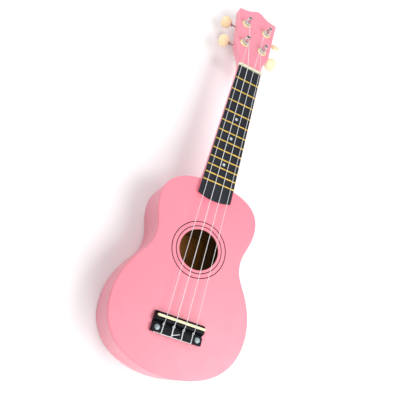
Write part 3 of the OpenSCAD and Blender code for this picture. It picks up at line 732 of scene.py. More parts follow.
# shaft
for y in np.linspace(222, 332, 12):
    d = 15.4 - (y - 206) / (343 - 206) * 2.0
    add_station((y, ZT), (y, ZT - d), board_half(y), 0.0, 0.0, 1.0)


def head_yz(s, h):
    return (SCALE + s * math.cos(TILT) + h * math.sin(TILT), HEAD_Z - s * math.sin(TILT) + h * math.cos(TILT))


# from the shaft into the head
for q, (po, pi, w) in enumerate([((337, ZT), (336.6, 41.42), 16.6), ((341, ZT), (340.0, 41.4), 16.6), ((345, ZT), (343.4, 41.4), 17.0),
                                 ((347.4, ZT), (345.2, 41.4), 17.3), ((349.2, ZT - 0.02), (346.4, 41.4), 17.45)]):
    add_station(po, pi, w, 0.04 * q, 0.1 * q, 0.6 + 0.3 * q, nexp=2.25)
for s, over in ((5.2, 0.99), (8, 0.54), (11, 0.22), (14, 0.07), (17, 0.01), (19.5, 0), (22, 0), (24.5, 0)):
    po, pi = head_yz(s, 0), head_yz(s, -HEAD_T - over)
    add_station(po, pi, head_half(s), 0.16 + 0.84 * smooth(3, 27, s), 0.7, 2.2)
for s in np.concatenate([np.arange(27, 60, 3.0), np.arange(60, 112, 5.0)]):
    t = smooth(70, 113, s)
    f = s
    def bend(x, s=s, t=t):
        ds = t * (crown(x) - 113.6) * (s / 113.6)
        return np.array([ds * math.cos(TILT), -ds * math.sin(TILT)])
    add_station(head_yz(s, 0), head_yz(s, -HEAD_T), head_half(s), 1.0, 0.9, 2.2, bend=bend)
for ins in (2.6, 1.6, 0.9, 0.35, 0.05):
    # the last stations round over the crown's edge
    r = 1.2
    lift = 0 if ins >= r else r - math.sqrt(max(0, r * r - (r - ins) ** 2))
    w = 30.4 - lift * 0.8
    def bend(x, ins=ins):
        ds = crown(min(abs(x) * 30.4 / 30.4, 30.3)) - ins
        return np.array([ds * math.cos(TILT), -ds * math.sin(TILT)])
    add_station(head_yz(0, -lift), head_yz(0, -HEAD_T + lift), w, 1.0, 0.9, 2.2, bend=bend)

NP_ = len(stations[0])
V = np.concatenate([np.array(s) for s in stations])
# the heel's face is hollowed to sit flush on the curved end of the body
end_pts = OUT[OUT[:, 1] > 160]
end_pts = end_pts[np.argsort(end_pts[:, 0])]
n_heel = (len(heel) + 5) * NP_
yo = np.interp(V[:n_heel, 0], end_pts[:, 0], end_pts[:, 1]) - 0.12
keep = np.clip((V[:n_heel, 1] - BODY_END) / 7.0, 0, 1)
V[:n_heel, 1] += (yo - BODY_END) * (1 - keep * keep * (3 - 2 * keep))
F = loops_to_faces(len(stations), NP_)


def cap_faces(base):
    f = []
    top = [base + k for k in range(NT)]
    right = [base + NT + k for k in range(NSD)]
    bot = [base + NT + NSD + k for k in range(NT)]
    left = [base + 2 * NT + NSD + k for k in range(NSD)]
    for k in range(NT - 1):
        f.append((top[k], top[k + 1], bot[NT - 2 - k], bot[NT - 1 - k]))
    f.append(tuple([top[-1]] + right + [bot[0]]))
    f.append(tuple([bot[-1]] + left + [top[0]]))
    return f


F += [tuple(reversed(q)) for q in cap_faces(0)] + cap_faces((len(stations) - 1) * NP_)
make("neck_and_head", V, F, M_NECK, replaces=("neck",), sharp=42, weighted=False)

# ------------------------------------------------------------------ fingerboard
BC, BE = 153.5, 149.5
hb = board_half(BC)
end = [(hb * (1 - k / 20), BE + (BC - BE) * (1 - k / 20) ** 2) for k in range(21)]
end = end + [(-x, y) for x, y in end[-2::-1]]
right_edge = [(board_half(y), y) for y in np.linspace(SCALE, BC, 40)[:-1]]
outline = right_edge + end + [(-x, y) for x, y in right_edge[::-1]]
outline = np.array(outline)[::-1]        # anticlockwise


def signed(p):
    p = np.asarray(p)
    return 0.5 * np.sum(p[:, 0] * np.roll(p[:, 1], -1) - np.roll(p[:, 0], -1) * p[:, 1])


if signed(outline) < 0:
    outline = outline[::-1]
V, F = plate(outline, ZT, ZT + BASE_T, rt=0.12, rb=0.05, n=2)
make("board_base_layer", V, F, M_NECK, replaces=("fingerboard_base",))
V, F = plate(outline, ZT + BASE_T, ZB, rt=0.35, rb=0.05, n=3)
make("fingerboard_top", V, F, M_BOARD, replaces=("fingerboard",))

# inlaid dots, a hair proud of the wood
parts = []
for n in (5, 7, 10):
    yc = (fret_y(n) + fret_y(n - 1)) / 2
    parts.append(xf(lathe([(0, -1.0), (2.0, -1.0), (2.0, -0.01), (1.93, 0.03), (1.5, 0.045), (0, 0.05)], 40), Matrix.Translation((0, yc, ZB))))
V, F = join(parts)
make("pearl_dots", V, F, M_DOT, replaces=("position_dots",), sharp=50)

# frets: domed crowns with rounded ends
parts = []
for n in range(1, 13):
    y0, h = fret_y(n), board_half(fret_y(n)) - 0.05
    xs = [-h, -h + 0.15, -h + 0.5] + list(np.linspace(-h + 2, h - 2, 5)) + [h - 0.5, h - 0.15, h]
    L = []
    for x in xs:
        e = min(1.0, (h - abs(x)) / 0.6)
        k = math.sqrt(max(0.0, 1 - (1 - e) ** 2)) * 0.75 + 0.25
        prof = [(x, y0 + 1.0 * math.cos(a), ZB - 0.02 + 0.9 * k * math.sin(a) ** 0.9) for a in np.linspace(0, math.pi, 11)]
        prof += [(x, y0 - 0.95, ZB - 0.3), (x, y0 + 0.95, ZB - 0.3)]
        L.append(prof)
    parts.append(solid_from_loops(L))
V, F = join(parts)
make("fret_wires", V, F, M_FRET, replaces=("frets",), sharp=50)

# ------------------------------------------------------------------ nut
def sweep_x(profile_at, xs):
    return solid_from_loops([[(x, y, z) for y, z in profile_at(x, k)] for k, x in enumerate(xs)])


NH = W_NUT / 2 + 1
N0 = SCALE
nut_prof = spline([(N0 + 0.05, ZT + 0.3), (N0, ZT + 3), (N0 + 0.02, ZB + 2.0), (N0 + 0.35, ZB + 2.3), (N0 + 1.2, ZB + 2.38), (N0 + 2.6, ZB + 2.0), (N0 + 3.8, ZB + 1.2), (N0 + 4.15, ZB + 0.4), (N0 + 4.2, ZT + 3), (N0 + 4.15, ZT + 0.05)], 5)
xs = []
slots = [(NX[i] - STRING_R[i] - 0.15, NX[i] + STRING_R[i] + 0.15, i) for i in range(4)]
xs = [-NH, -NH + 0.12, -NH + 0.4, -NH + 0.9]
for a, b, i in slots:
    xs += [a - 0.9, a - 0.12, a, a + 0.04, (a + b) / 2, b - 0.04, b, b + 0.12, b + 0.9]
xs += [NH - 0.9, NH - 0.4, NH - 0.12, NH]


def nut_at(x, k):
    e = min(1.0, (NH - abs(x)) / 0.7)
    sh = 0.5 * (1 - math.sqrt(max(0, 1 - (1 - e) ** 2)))
    out = []
    for y, z in nut_prof:
        yy = y + (sh if y < N0 + 2 else -sh)
        zz = z - (sh if z > ZB else 0)
        for a, b, i in slots:
            if a - 1e-9 <= x <= b + 1e-9:
                floor = ZB + 1.5 - STRING_R[i] - 0.05 - max(0, yy - N0) * 0.14
                zz = min(zz, floor)
        out.append((yy, zz))
    return out


V, F = sweep_x(nut_at, xs)
make("nut_bar", V, F, M_NUT, replaces=("nut",), sharp=45)

# ------------------------------------------------------------------ bridge, saddle, screws
front = [(4.8, 0.0), (4.8, 3.2), (4.62, 3.9), (4.1, 4.35), (3.2, 4.55), (2.02, 4.65)]
slot_pts = [(2.0, 4.6), (2.0, 2.6), (-1.0, 2.6), (-1.0, 6.75)]
ridge = spline([(-1.05, 6.85), (-1.5, 7.0), (-2.3, 7.08), (-3.3, 6.9), (-4.3, 6.2), (-5.1, 5.1), (-5.7, 3.8), (-6.3, 2.5), (-7.0, 1.85), (-7.8, 1.7)], 4)
deckp = [(-8.5, 1.75), (-8.75, 2.2), (-8.85, 3.0), (-8.9, 4.3), (-9.05, 4.72), (-9.35, 4.94), (-9.8, 5.0), (-13, 5.0), (-16.9, 5.0), (-17.35, 4.93), (-17.66, 4.7), (-17.8, 4.3), (-17.8, 0.0)]


def bridge_at(x, k):
    e = min(1.0, (BRIDGE_HALF - abs(x)) / 0.8)
    sh = 0.8 * (1 - math.sqrt(max(0, 1 - (1 - e) ** 2)))
    has_slot = x >= -28.2
    sp = slot_pts if has_slot else [(1.2, 5.1), (0.5, 5.7), (-0.2, 6.3), (-0.8, 6.75)]
    pts = front + sp + [tuple(p) for p in ridge] + deckp
    return [(min(max(y, -17.8 + sh * 0.8), 4.8 - sh * 0.8), ZT + max(0, z - (sh if z > 0.5 else 0))) for y, z in pts]


B = BRIDGE_HALF
xs = [-B, -B + 0.06, -B + 0.2, -B + 0.45, -B + 0.8, -28.5, -28.25, -28.2, -28.15] + list(np.linspace(-24, 26, 12)) + [B - 0.8, B - 0.45, B - 0.2, B - 0.06, B]
V, F = sweep_x(bridge_at, xs)
bridge_o = make("bridge_block", V, F, M_BRIDGE, replaces=("bridge",), sharp=40)


def cut(target, part, name="cutter"):
    """Exact boolean difference of a part given in millimetres."""
    me = bpy.data.meshes.new(name)
    me.from_pydata([tuple(p) for p in np.asarray(part[0], float) * MM], [], part[1])
    bm = bmesh.new(); bm.from_mesh(me)
    bmesh.ops.recalc_face_normals(bm, faces=bm.faces); bm.to_mesh(me); bm.free()
    c = bpy.data.objects.new(name, me)
    bpy.context.scene.collection.objects.link(c)
    mod = target.modifiers.new("cut", "BOOLEAN")
    mod.operation, mod.solver, mod.object = "DIFFERENCE", "EXACT", c
    while target.modifiers[0] != mod:
        with bpy.context.temp_override(object=target):
            bpy.ops.object.modifier_move_up(modifier=mod.name)
    dg = bpy.context.evaluated_depsgraph_get()
    others = [(m, m.show_viewport) for m in target.modifiers if m != mod]
    for m, s in others:
        m.show_viewport = False
    dg.update()
    new = bpy.data.meshes.new_from_object(target.evaluated_get(dg))
    for m, s in others:
        m.show_viewport = s
    target.modifiers.remove(mod)
    new.name = target.data.name + "_cut"
    target.data = new
    bpy.data.objects.remove(c)
    bm = bmesh.new(); bm.from_mesh(new)
    for f in bm.faces:
        f.smooth = True
    for e in bm.edges:
        e.smooth = not (len(e.link_faces) == 2 and e.calc_face_angle(0) > 40 * D2R)
    bm.to_mesh(new); bm.free()


holes = []
for i in range(4):
    c = lathe([(0, 0), (0.8, 0), (0.8, 11), (0, 11)], 20)
    holes.append(xf(c, Matrix.Translation((SX[i], -7.6, ZT + 2.4)) @ Matrix.Rotation(math.pi / 2, 4, "X")))
cut(bridge_o, join(holes))

# saddle: long bar with round ends and a rounded crown
st = []
for k in range(13):
    a = -math.pi / 2 + k / 12 * math.pi
    st.append((28.8 + 1.5 * math.cos(a), 0.5 + 1.5 * math.sin(a)))
for k in range(13):
    a = math.pi / 2 + k / 12 * math.pi
    st.append((-26.7 + 1.5 * math.cos(a), 0.5 + 1.5 * math.sin(a)))
L = [at_z(inset2(st, 0.1), ZT + 2.62), at_z(st, ZT + 2.75), at_z(st, ZT + 7.2)]
for k in range(1, 6):
    a = k / 5 * math.pi / 2
    L.append(at_z(inset2(st, 1.05 * (1 - math.cos(a))), ZT + 7.2 + 1.05 * math.sin(a)))
V, F = solid_from_loops(L)
make("saddle_bar", V, F, M_SADDLE, replaces=("saddle",), sharp=50)

# bridge screws: low domed heads with a small cross recess
for k, s in enumerate((-1, 1)):
    prof = [(0, -13), (1.3, -12.6), (1.5, -12.2), (1.5, -0.01), (3.1, -0.01), (3.28, 0.1), (3.3, 0.3), (3.24, 0.62), (3.05, 0.92), (2.7, 1.12), (2.0, 1.32), (1.0, 1.44), (0, 1.48)]
    V, F = lathe([(r, z) for r, z in prof], 56)
    V, F = xf((V, F), Matrix.Translation((s * SCREW_X, SCREW_Y, ZT + DECK)))
    o = make("bridge_screw_%d" % (k + 1), V, F, M_STEEL, replaces=("bridge_screws",), sharp=40)
    rec = []
    for ang in (20, 110):
        L = []
        for zz, hw, hl in ((0.75, 0.12, 0.5), (2.5, 0.3, 1.15)):
            L.append([(-hl, -hw, zz), (hl, -hw, zz), (hl, hw, zz), (-hl, hw, zz)])
        rec.append(xf(solid_from_loops(L), Matrix.Translation((s * SCREW_X, SCREW_Y, ZT + DECK)) @ Matrix.Rotation(ang * D2R, 4, "Z")))
    for r_ in rec:
        cut(o, r_)

# ------------------------------------------------------------------ strings
def head_pt(x, s, h):
    v = HEAD_M @ np.array([x, s, h, 1.0])
    return v[:3]


WIND_H = 4.4
for i in range(4):
    r, xs_, xn = STRING_R[i], SX[i], NX[i]
    side = SIDE[i]
    sz = ZT + 8.25
    # the winding's outer turn is met on the side nearer the middle
    meet = np.array([POST_X[i] - side * (POST_R + r), POST_S[i], WIND_H])
    main = [(xs_, -17.9, ZT + 2.45), (xs_, -14, ZT + 2.4), (xs_, -9.2, ZT + 2.4), (xs_, -8.2, ZT + 2.75), (xs_, -7.2, ZT + 4.0), (xs_, -6.2, ZT + 5.7), (xs_, -5.2, ZT + 6.95), (xs_, -3.8, ZT + 7.55), (xs_, -2.2, ZT + 7.95 + r * 0.3),
            (xs_, -0.8, sz + r - 0.12), (xs_, 0.5, sz + r + 0.02), (xs_ * 0.999, 2.4, sz + r + 0.02)]
    a = spline(main, 5)
    b0 = np.array([xs_ * 0.999, 2.4, sz + r + 0.02])
    b1 = np.array([xn, SCALE, ZB + 1.5])
    mid = [b0 + (b1 - b0) * t for t in (0.02, 0.1, 0.25, 0.5, 0.75, 0.9, 0.98)]
    nutp = [b1, np.array([xn, SCALE + 1.6, ZB + 1.38]), np.array([xn + (meet[0] - xn) * 0.03, SCALE + 3.6, ZB + 1.0])]
    endp = head_pt(*meet)
    n3 = nutp[-1]
    run = [n3 + (endp - n3) * t for t in (0.04, 0.3, 0.6, 0.9, 1.0)]
    path = np.concatenate([a, np.array(mid), np.array(nutp), np.array(run)])
    parts = [tube(path, r, 12)]
    # tie: up round the back edge, forward over the block, once round the string in the valley, and back in a twist
    up = [(xs_, -17.6, ZT + 2.42), (xs_, -18.5, ZT + 2.55), (xs_ - 0.05, -18.95, ZT + 3.3), (xs_ - 0.1, -18.9, ZT + 4.5), (xs_ - 0.1, -18.3, ZT + DECK + r + 0.15), (xs_ - 0.1, -17.2, ZT + DECK + r + 0.2)]
    q = 0.92 * r
    nt_, turns = 26, 2.2
    y_a, y_b = -16.8, -8.6
    za = ZT + DECK + r + q + 0.08
    fwd, back = [], []
    for k in range(nt_ + 1):
        t = k / nt_
        ph = t * turns * 2 * math.pi + i * 0.9
        y = y_a + (y_b - y_a) * t
        xc = xs_ - 0.15 + 0.25 * math.sin(t * 3 + i)
        zc = za + 0.25 * t * t
        fwd.append((xc + q * math.cos(ph), y, zc + q * math.sin(ph)))
        back.append((xc - q * math.cos(ph), y, zc - q * math.sin(ph)))
    knot = [fwd[-1], (xs_ - r - 0.5, -7.7, ZT + 5.3), (xs_ - r * 1.8, -6.6, ZT + 5.6), (xs_ + 0.1, -5.9, ZT + 5.4 - r), (xs_ + r * 2.3, -6.4, ZT + 5.9), (xs_ + r * 2.2, -7.5, ZT + 6.2), (xs_ + 0.2, -8.0, ZT + 6.0 + r), back[-1]]
    kp = spline(knot, 6)
    tie = np.concatenate([spline(up, 4)[:-1], spline([up[-1], fwd[0]], 3)[1:-1], np.array(fwd)[:-1], kp[:-1], np.array(back)[::-1]])
    # the tail is tucked along the back edge, towards the neighbouring string
    x_end = (SX[i - 1] + 0.6) if i > 0 else -27.0
    tail = [back[0], (xs_ - 0.4, -17.6, ZT + DECK + r + 0.35), (xs_ - 1.6, -18.25, ZT + DECK - 0.1), (xs_ - 4, -18.2 - r * 0.4, ZT + DECK - 0.55), ((xs_ + x_end) / 2, -18.15 - r * 0.4, ZT + DECK - 0.6), (x_end + 1.2, -18.2 - r * 0.4, ZT + DECK - 0.5), (x_end, -18.3 - r * 0.4, ZT + DECK - 0.35)]
    if i == 1:   # this one also leaves a short end standing over the block
        stub = spline([(xs_ + 0.1, -16.6, ZT + DECK + r + 0.2), (xs_ + 1.6, -15.9, ZT + DECK + r + 0.3), (xs_ + 4.6, -14.6, ZT + DECK + r + 0.9), (xs_ + 8.2, -13.2, ZT + DECK + r + 1.7)], 5)
        parts.append(tube(stub, r, 10))
    tie = np.concatenate([tie, spline(tail, 5)[1:]])
    parts.append(tube(tie, r, 10))
    V, F = join(parts)
    make("string_line_%d" % (i + 1), V, F, M_NYLON, replaces=("string_%d" % (i + 1),), sharp=80, weighted=False)

# ------------------------------------------------------------------ tuning machines
def bushing_part():
    prof = [(POST_R + 0.06, -8), (4.5, -8), (4.5, -0.01), (6.5, 0.0), (6.78, 0.12), (6.8, 0.5), (6.72, 0.85), (6.45, 1.15), (5.9, 1.38), (4.9, 1.55), (4.2, 1.6), (3.5, 1.56), (3.2, 1.44), (POST_R + 0.06, 1.25)]
    return ring_lathe(prof, 64)


parts = [xf(bushing_part(), Matrix(HEAD_M) @ Matrix.Translation((POST_X[i], POST_S[i], 0))) for i in range(4)]
V, F = join(parts)
make("post_washers", V, F, M_WASH, replaces=("post_bushings",), sharp=50)

PLATE_2D = [(-7.2, 3.4), (-7.2, 9.4), (-4.4, 12.6), (-2.4, 15), (2.4, 15), (4.4, 12.6), (7.2, 9.4), (7.2, 3.4), (6.6, -3), (4.4, -10.6), (2.4, -13), (-2.4, -13), (-4.4, -10.6), (-6.6, -3)]


def round_poly(P, r, n=4):
    """Rounds each corner of a polygon."""
    P = [np.array(p, float) for p in P]
    out = []
    for i in range(len(P)):
        a, b, c = P[i - 1], P[i], P[(i + 1) % len(P)]
        u, w = (a - b) / np.linalg.norm(a - b), (c - b) / np.linalg.norm(c - b)
        d = min(r, np.linalg.norm(a - b) * 0.4, np.linalg.norm(c - b) * 0.4)
        p0, p1 = b + u * d, b + w * d
        for k in range(n + 1):
            t = k / n
            out.append((1 - t) ** 2 * p0 + 2 * t * (1 - t) * b + t * t * p1)
    return np.array(out)


pl = round_poly(PLATE_2D, 1.6)
if signed(pl) < 0:
    pl = pl[::-1]


def lug():
    """A bent-up ear with a round top, its faces across X."""
    pr = [(-2.8, -PLATE_T + 0.1), (-2.8, WORM_Z)] + [(-2.8 * math.cos(a), WORM_Z - 2.8 * math.sin(a)) for a in np.linspace(0.2, math.pi - 0.2, 14)] + [(2.8, WORM_Z), (2.8, -PLATE_T + 0.1)]
    L = []
    for x, ins in ((-0.7, 0.22), (-0.62, 0.06), (-0.48, 0.0), (0.48, 0.0), (0.62, 0.06), (0.7, 0.22)):
        cy, cz = 0, (WORM_Z - 1) / 2
        L.append([(x, y * (1 - ins / 2.8), cz + (z_ - cz) * (1 - ins / 4)) for y, z_ in pr])
    return solid_from_loops(L)


parts = []
for i in range(4):
    M = machine_matrix(i)
    parts.append(xf(plate(pl, -PLATE_T, -0.005, rt=0.1, rb=0.28, n=3), M))
    for s in (-1, 1):
        parts.append(xf(lug(), M @ Matrix.Translation((s * 6.3, GEAR_CD, 0))))
    # pressed collar round the post's bearing
    parts.append(xf(ring_lathe([(POST_R + 0.06, -PLATE_T - 0.25), (4.0, -PLATE_T - 0.25), (4.3, -PLATE_T - 0.02), (4.3, -PLATE_T + 0.2), (POST_R + 0.06, -PLATE_T + 0.2)], 40), M))
V, F = join(parts)
make("tuner_base_plates", V, F, M_CHROME, replaces=("tuner_plates",), sharp=40)


def post_part():
    t = HEAD_T
    prof = [(0, WORM_Z - 2.0), (1.7, WORM_Z - 2.0), (2.0, WORM_Z - 1.8), (2.0, WORM_Z + 1.7), (3.8, WORM_Z + 1.7), (4.0, WORM_Z + 1.85), (4.0, -PLATE_T - 0.5), (3.8, -PLATE_T - 0.32), (POST_R, -PLATE_T - 0.3),
            (POST_R, t + 2.5), (POST_R - 0.08, t + 2.8), (POST_R - 0.3, t + 3.15), (POST_R - 0.35, t + 3.6), (POST_R - 0.35, t + 6.0), (POST_R - 0.3, t + 6.5), (POST_R - 0.06, t + 6.9), (POST_R, t + 7.2),
            (POST_R, t + 11.2), (POST_R - 0.05, t + 11.65), (POST_R - 0.22, t + 12.05), (POST_R - 0.55, t + 12.3), (POST_R - 1.0, t + 12.4), (POST_R - 1.25, t + 12.34), (POST_R - 1.5, t + 12.2), (0, t + 12.15)]
    return lathe(prof, 56)


def winding_part(i):
    """Turns of string round the post, from where the string arrives, with its end through the post."""
    r = STRING_R[i]
    t = HEAD_T
    turns = (3.2, 2.3, 2.6, 3.2)[i]
    R0 = POST_R + r
    n = int(turns * 28)
    # local frame: the post's inner side is -x; the string comes from -y
    path = []
    for k in range(n + 1):
        f = k / n
        a = math.pi + f * turns * 2 * math.pi * -1
        rad = R0 - (0.28 if 0.25 < f < 1 else 0) * smooth(0.2, 0.4, f)
        h = t + WIND_H - f * (2 * r + 0.03) * turns + 0.0
        h = max(h, t + 1.75 + r)
        path.append((rad * math.cos(a), rad * math.sin(a), h))
    # last part climbs to the hole and dives through it
    a = math.pi - turns * 2 * math.pi
    climb = []
    for k in range(1, 15):
        f = k / 14
        aa = a - f * (1.5 * math.pi - (turns * 2 * math.pi) % (2 * math.pi)) if False else a - f * math.pi * 0.9
        climb.append(((R0 + 0.1) * math.cos(aa), (R0 + 0.1) * math.sin(aa), path[-1][2] + (t + 5.3 + r - path[-1][2]) * f))
    e = climb[-1]
    ex = np.array([e[0], e[1]]) / np.hypot(e[0], e[1])
    thru = [(ex[0] * 2.2, ex[1] * 2.2, t + 5.4 + r), (-ex[0] * 2.6, -ex[1] * 2.6, t + 5.4 + r), (-ex[0] * 4.4, -ex[1] * 4.4, t + 5.9 + r)]
    full = np.concatenate([np.array(path), np.array(climb), np.array(thru)])
    return tube(full, r, 10)


def wheel_part():
    nteeth, ded, add = 14, 0.72, 0.42
    wpr = nteeth * PITCH / (2 * math.pi)
    a = 2 * math.pi / nteeth
    pts = []
    for k in range(nteeth):
        c = (k + 0.5) * a
        for rr, da in ((wpr - ded, -0.34), (wpr - ded * 0.6, -0.25), (wpr, -0.165), (wpr + add * 0.7, -0.12), (wpr + add, -0.08), (wpr + add, 0.08), (wpr + add * 0.7, 0.12), (wpr, 0.165), (wpr - ded * 0.6, 0.25), (wpr - ded, 0.34)):
            pts.append((rr * math.sin(c + a * da), rr * math.cos(c + a * da)))
    P = np.array(pts)
    if signed(P) < 0:
        P = P[::-1]
    z0, z1 = WORM_Z - 1.5, WORM_Z + 1.5
    rim = P
    def shrink(f):
        return P * f
    L = [at_z(P * 0.965, z0), at_z(P * 0.99, z0 + 0.12), at_z(P, z0 + 0.3), at_z(P, z1 - 0.3), at_z(P * 0.99, z1 - 0.12), at_z(P * 0.965, z1)]
    # dished faces down to the hub
    base = np.stack([np.cos(np.arctan2(P[:, 1], P[:, 0])), np.sin(np.arctan2(P[:, 1], P[:, 0]))], 1)
    up = [at_z(base * 3.1, z1), at_z(base * 2.95, z1 - 0.25), at_z(base * 2.01, z1 - 0.25)]
    dn = [at_z(base * 2.01, z0 + 0.25), at_z(base * 2.95, z0 + 0.25), at_z(base * 3.1, z0)]
    L = dn + L + up
    v, f = solid_from_loops(L, False, False)
    n = len(P)
    last = (len(L) - 1) * n
    f += [(last + k, last + (k + 1) % n, (k + 1) % n, k) for k in range(n)]
    return v, f


def gear_screw_part():
    prof = [(0, WORM_Z - 3.5), (1.5, WORM_Z - 3.48), (2.15, WORM_Z - 3.3), (2.5, WORM_Z - 3.0), (2.62, WORM_Z - 2.6), (2.62, WORM_Z - 1.95), (2.5, WORM_Z - 1.9), (0.95, WORM_Z - 1.9), (0.95, WORM_Z + 2.4), (0, WORM_Z + 2.4)]
    return lathe(prof, 48)


def worm_part():
    """Shaft, collars and a smooth helical thread, along +X."""
    core, tip = 1.15, GEAR_CD - 14 * PITCH / (2 * math.pi) + 0.42
    n, m = 40, 150
    L = []
    for j in range(m + 1):
        x = -3.9 + 7.8 * j / m
        row = []
        for k in range(n):
            th = k / n * 2 * math.pi
            # facing the wheel (-y) the thread stands at x = 0
            ph = (x / PITCH - th / (2 * math.pi)) % 1.0
            d = min(ph, 1 - ph) * PITCH
            hgt = 1 - smooth(0.24, 0.62, d)
            fade = smooth(0, 0.7, 3.6 - abs(x))
            rr = core + (tip - core) * hgt * fade
            row.append((x, -rr * math.cos(th), rr * math.sin(th)))
        L.append(row)
    worm = solid_from_loops(L)
    e = BUTTON_X - 5
    left = xf(lathe([(0, -8.0), (1.9, -8.0), (2.1, -7.85), (2.1, -7.42), (1.95, -7.3), (1.5, -7.3), (1.5, -4.3), (1.3, -4.1), (1.15, -3.9), (0, -3.9)], 36), ROT_X_AXIS)
    right = xf(lathe([(0, 3.9), (1.15, 3.9), (1.3, 4.1), (1.5, 4.3), (1.5, 7.3), (1.95, 7.35), (2.1, 7.5), (2.1, 8.25), (1.95, 8.4), (1.5, 8.45), (1.5, e), (0, e)], 36), ROT_X_AXIS)
    return join([worm, left, right])


def button_part(i):
    """A flat oval button with soft edges, along +X."""
    st = [(-7.35, 2.3, 1.5), (-7.2, 3.3, 1.9), (-6.7, 4.7, 2.25), (-5.6, 6.25, 2.55), (-4.0, 7.55, 2.75), (-2.0, 8.45, 2.86), (0.2, 8.78, 2.9), (2.4, 8.62, 2.88), (4.4, 7.85, 2.78), (5.9, 6.55, 2.6), (6.8, 5.2, 2.38), (7.25, 3.9, 2.1), (7.42, 2.8, 1.7)]
    S = spline(st, 3)
    n = 48
    L = []
    for x, hw, ht in S:
        row = []
        for k in range(n):
            a = k / n * 2 * math.pi
            c, s = math.cos(a), math.sin(a)
            e = 2 / 3.4
            y = math.copysign(abs(c) ** e, c) * hw
            zz = math.copysign(abs(s) ** e, s) * ht
            # a faint hollow for the thumb on each face
            hol = 0.35 * math.exp(-((x - 0.3) / 4.2) ** 2 - (y / 5.2) ** 2)
            zz -= math.copysign(hol, s) * min(1, abs(zz) / ht) if abs(s) > 1e-6 else 0
            row.append((x, y, zz))
        L.append(row)
    body_ = solid_from_loops(L)
    return xf(body_, Matrix.Rotation(BUTTON_TURN[i] * D2R, 4, "X"))


def ferrule_part():
    """The bright turned neck between the shaft and the button, along +X."""
    return xf(lathe([(0, -9.95), (2.2, -9.95), (2.5, -9.8), (2.58, -9.5), (2.42, -9.1), (2.36, -8.6), (2.46, -8.0), (2.62, -7.3), (2.66, -6.9), (0, -6.9)], 48), ROT_X_AXIS)


for i in range(4):
    M = machine_matrix(i)
    k = i + 1
    ps, tn = "post_set_%d" % k, "turner_%d" % k
    V, F = xf(post_part(), M)
    make("tuning_post_%d" % k, V, F, M_POST_PAINTED_REFLECTION, body=ps, replaces=("post_%d" % k,), sharp=40)
    V, F = xf(winding_part(i), M)
    make("string_turns_%d" % k, V, F, M_NYLON, body=ps, replaces=("winding_%d" % k,), sharp=80, weighted=False)
    V, F = xf(wheel_part(), M)
    make("brass_gear_%d" % k, V, F, M_BRASS, body=ps, replaces=("worm_wheel_%d" % k,), sharp=35)
    V, F = xf(gear_screw_part(), M)
    o = make("gear_fixing_screw_%d" % k, V, F, M_STEEL, body=ps, replaces=("gear_screw_%d" % k,), sharp=40)
    L = [[(-2.2, -0.28, WORM_Z - 4.2), (2.2, -0.28, WORM_Z - 4.2), (2.2, 0.28, WORM_Z - 4.2), (-2.2, 0.28, WORM_Z - 4.2)], [(-2.2, -0.28, WORM_Z - 2.95), (2.2, -0.28, WORM_Z - 2.95), (2.2, 0.28, WORM_Z - 2.95), (-2.2, 0.28, WORM_Z - 2.95)]]
    cut(o, xf(xf(solid_from_loops(L), Matrix.Rotation((25, 70, 110, 155)[i] * D2R, 4, "Z")), M))
    W = M @ Matrix.Translation((0, GEAR_CD, WORM_Z))
    V, F = xf(worm_part(), W)
    make("worm_%d" % k, V, F, M_SHAFT, body=tn, replaces=("worm_shaft_%d" % k,), sharp=45)
    V, F = xf(button_part(i), W @ Matrix.Translation((BUTTON_X, 0, 0)))
    make("tuner_button_%d" % k, V, F, M_CREAM, body=tn, replaces=("button_%d" % k,), sharp=55)
    V, F = xf(ferrule_part(), W @ Matrix.Translation((BUTTON_X, 0, 0)))
    make("button_ferrule_%d" % k, V, F, M_FERRULE_PAINTED_REFLECTION, body=tn, sharp=45)

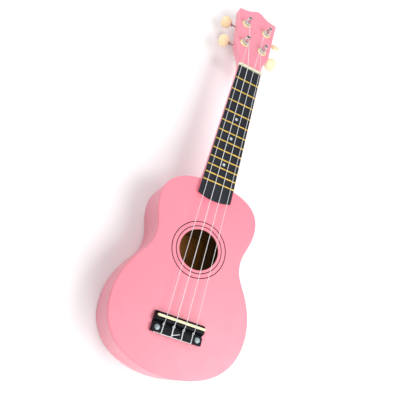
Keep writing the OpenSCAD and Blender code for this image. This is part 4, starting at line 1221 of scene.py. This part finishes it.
# ------------------------------------------------------------------ floor and light
me = bpy.data.meshes.new("floor")
s = 4.0
me.from_pydata([(-s, -s, -0.0003), (s, -s, -0.0003), (s, s, -0.0003), (-s, s, -0.0003)], [], [(0, 1, 2, 3)])
floor = bpy.data.objects.new("floor", me)
bpy.context.scene.collection.objects.link(floor)
fm, nt, b = new_mat("floor_white")
fn = noise(nt, coords(nt), 3.0, 2)
nt.links.new(ramp(nt, fn.outputs["Fac"], [(0.3, (0.975, 0.975, 0.975)), (0.7, (0.99, 0.99, 0.99))]), b.inputs["Base Color"])
b.inputs["Roughness"].default_value = 0.9
b.inputs["Specular IOR Level"].default_value = 0.1
me.materials.append(fm)

world = bpy.data.worlds.new("studio")
bpy.context.scene.world = world
world.use_nodes = True
wt = world.node_tree
bg = wt.nodes["Background"]
tc = wt.nodes.new("ShaderNodeTexCoord")
sx = wt.nodes.new("ShaderNodeSeparateXYZ")
wt.links.new(tc.outputs["Generated"], sx.inputs[0])
# brighter towards the tail end of the room, dark behind the head
rp = wt.nodes.new("ShaderNodeValToRGB")
mr = wt.nodes.new("ShaderNodeMapRange")
mr.inputs["From Min"].default_value, mr.inputs["From Max"].default_value = -1, 1
wt.links.new(sx.outputs[1], mr.inputs["Value"])
wt.links.new(mr.outputs["Result"], rp.inputs["Fac"])
el = rp.color_ramp.elements
el[0].position, el[0].color = 0.0, (1.35, 1.35, 1.36, 1)
el[1].position, el[1].color = 1.0, (0.35, 0.35, 0.37, 1)
e2 = el.new(0.5); e2.color = (0.95, 0.95, 0.96, 1)
e3 = el.new(0.86); e3.color = (0.5, 0.5, 0.52, 1)
el[3].color = (0.10, 0.07, 0.075, 1)
wt.links.new(rp.outputs["Color"], bg.inputs["Color"])
bg.inputs["Strength"].default_value = 0.56


def area(name, loc, target, size, power, col=(1, 1, 1)):
    l = bpy.data.lights.new(name, "AREA")
    l.shape = "RECTANGLE"
    l.size, l.size_y = size
    l.energy = power
    l.color = col
    o = bpy.data.objects.new(name, l)
    bpy.context.scene.collection.objects.link(o)
    o.location = loc
    o.rotation_euler = (Vector(target) - Vector(loc)).to_track_quat("-Z", "Y").to_euler()
    o.visible_camera = False
    return o


area("key_tail_right", (0.5, -1.05, 0.85), (0.02, 0.05, 0.03), (0.9, 0.7), 8)
area("top_soft", (0.75, -0.1, 1.2), (0.03, 0.1, 0.03), (0.8, 0.8), 11.5)
area("fill_head_left", (-0.42, 0.72, 0.34), (-0.01, 0.42, 0.03), (0.22, 0.22), 1.0)
area("fill_head_top", (-0.3, 1.1, 1.1), (-0.02, 0.36, 0.03), (0.5, 0.5), 3.6)
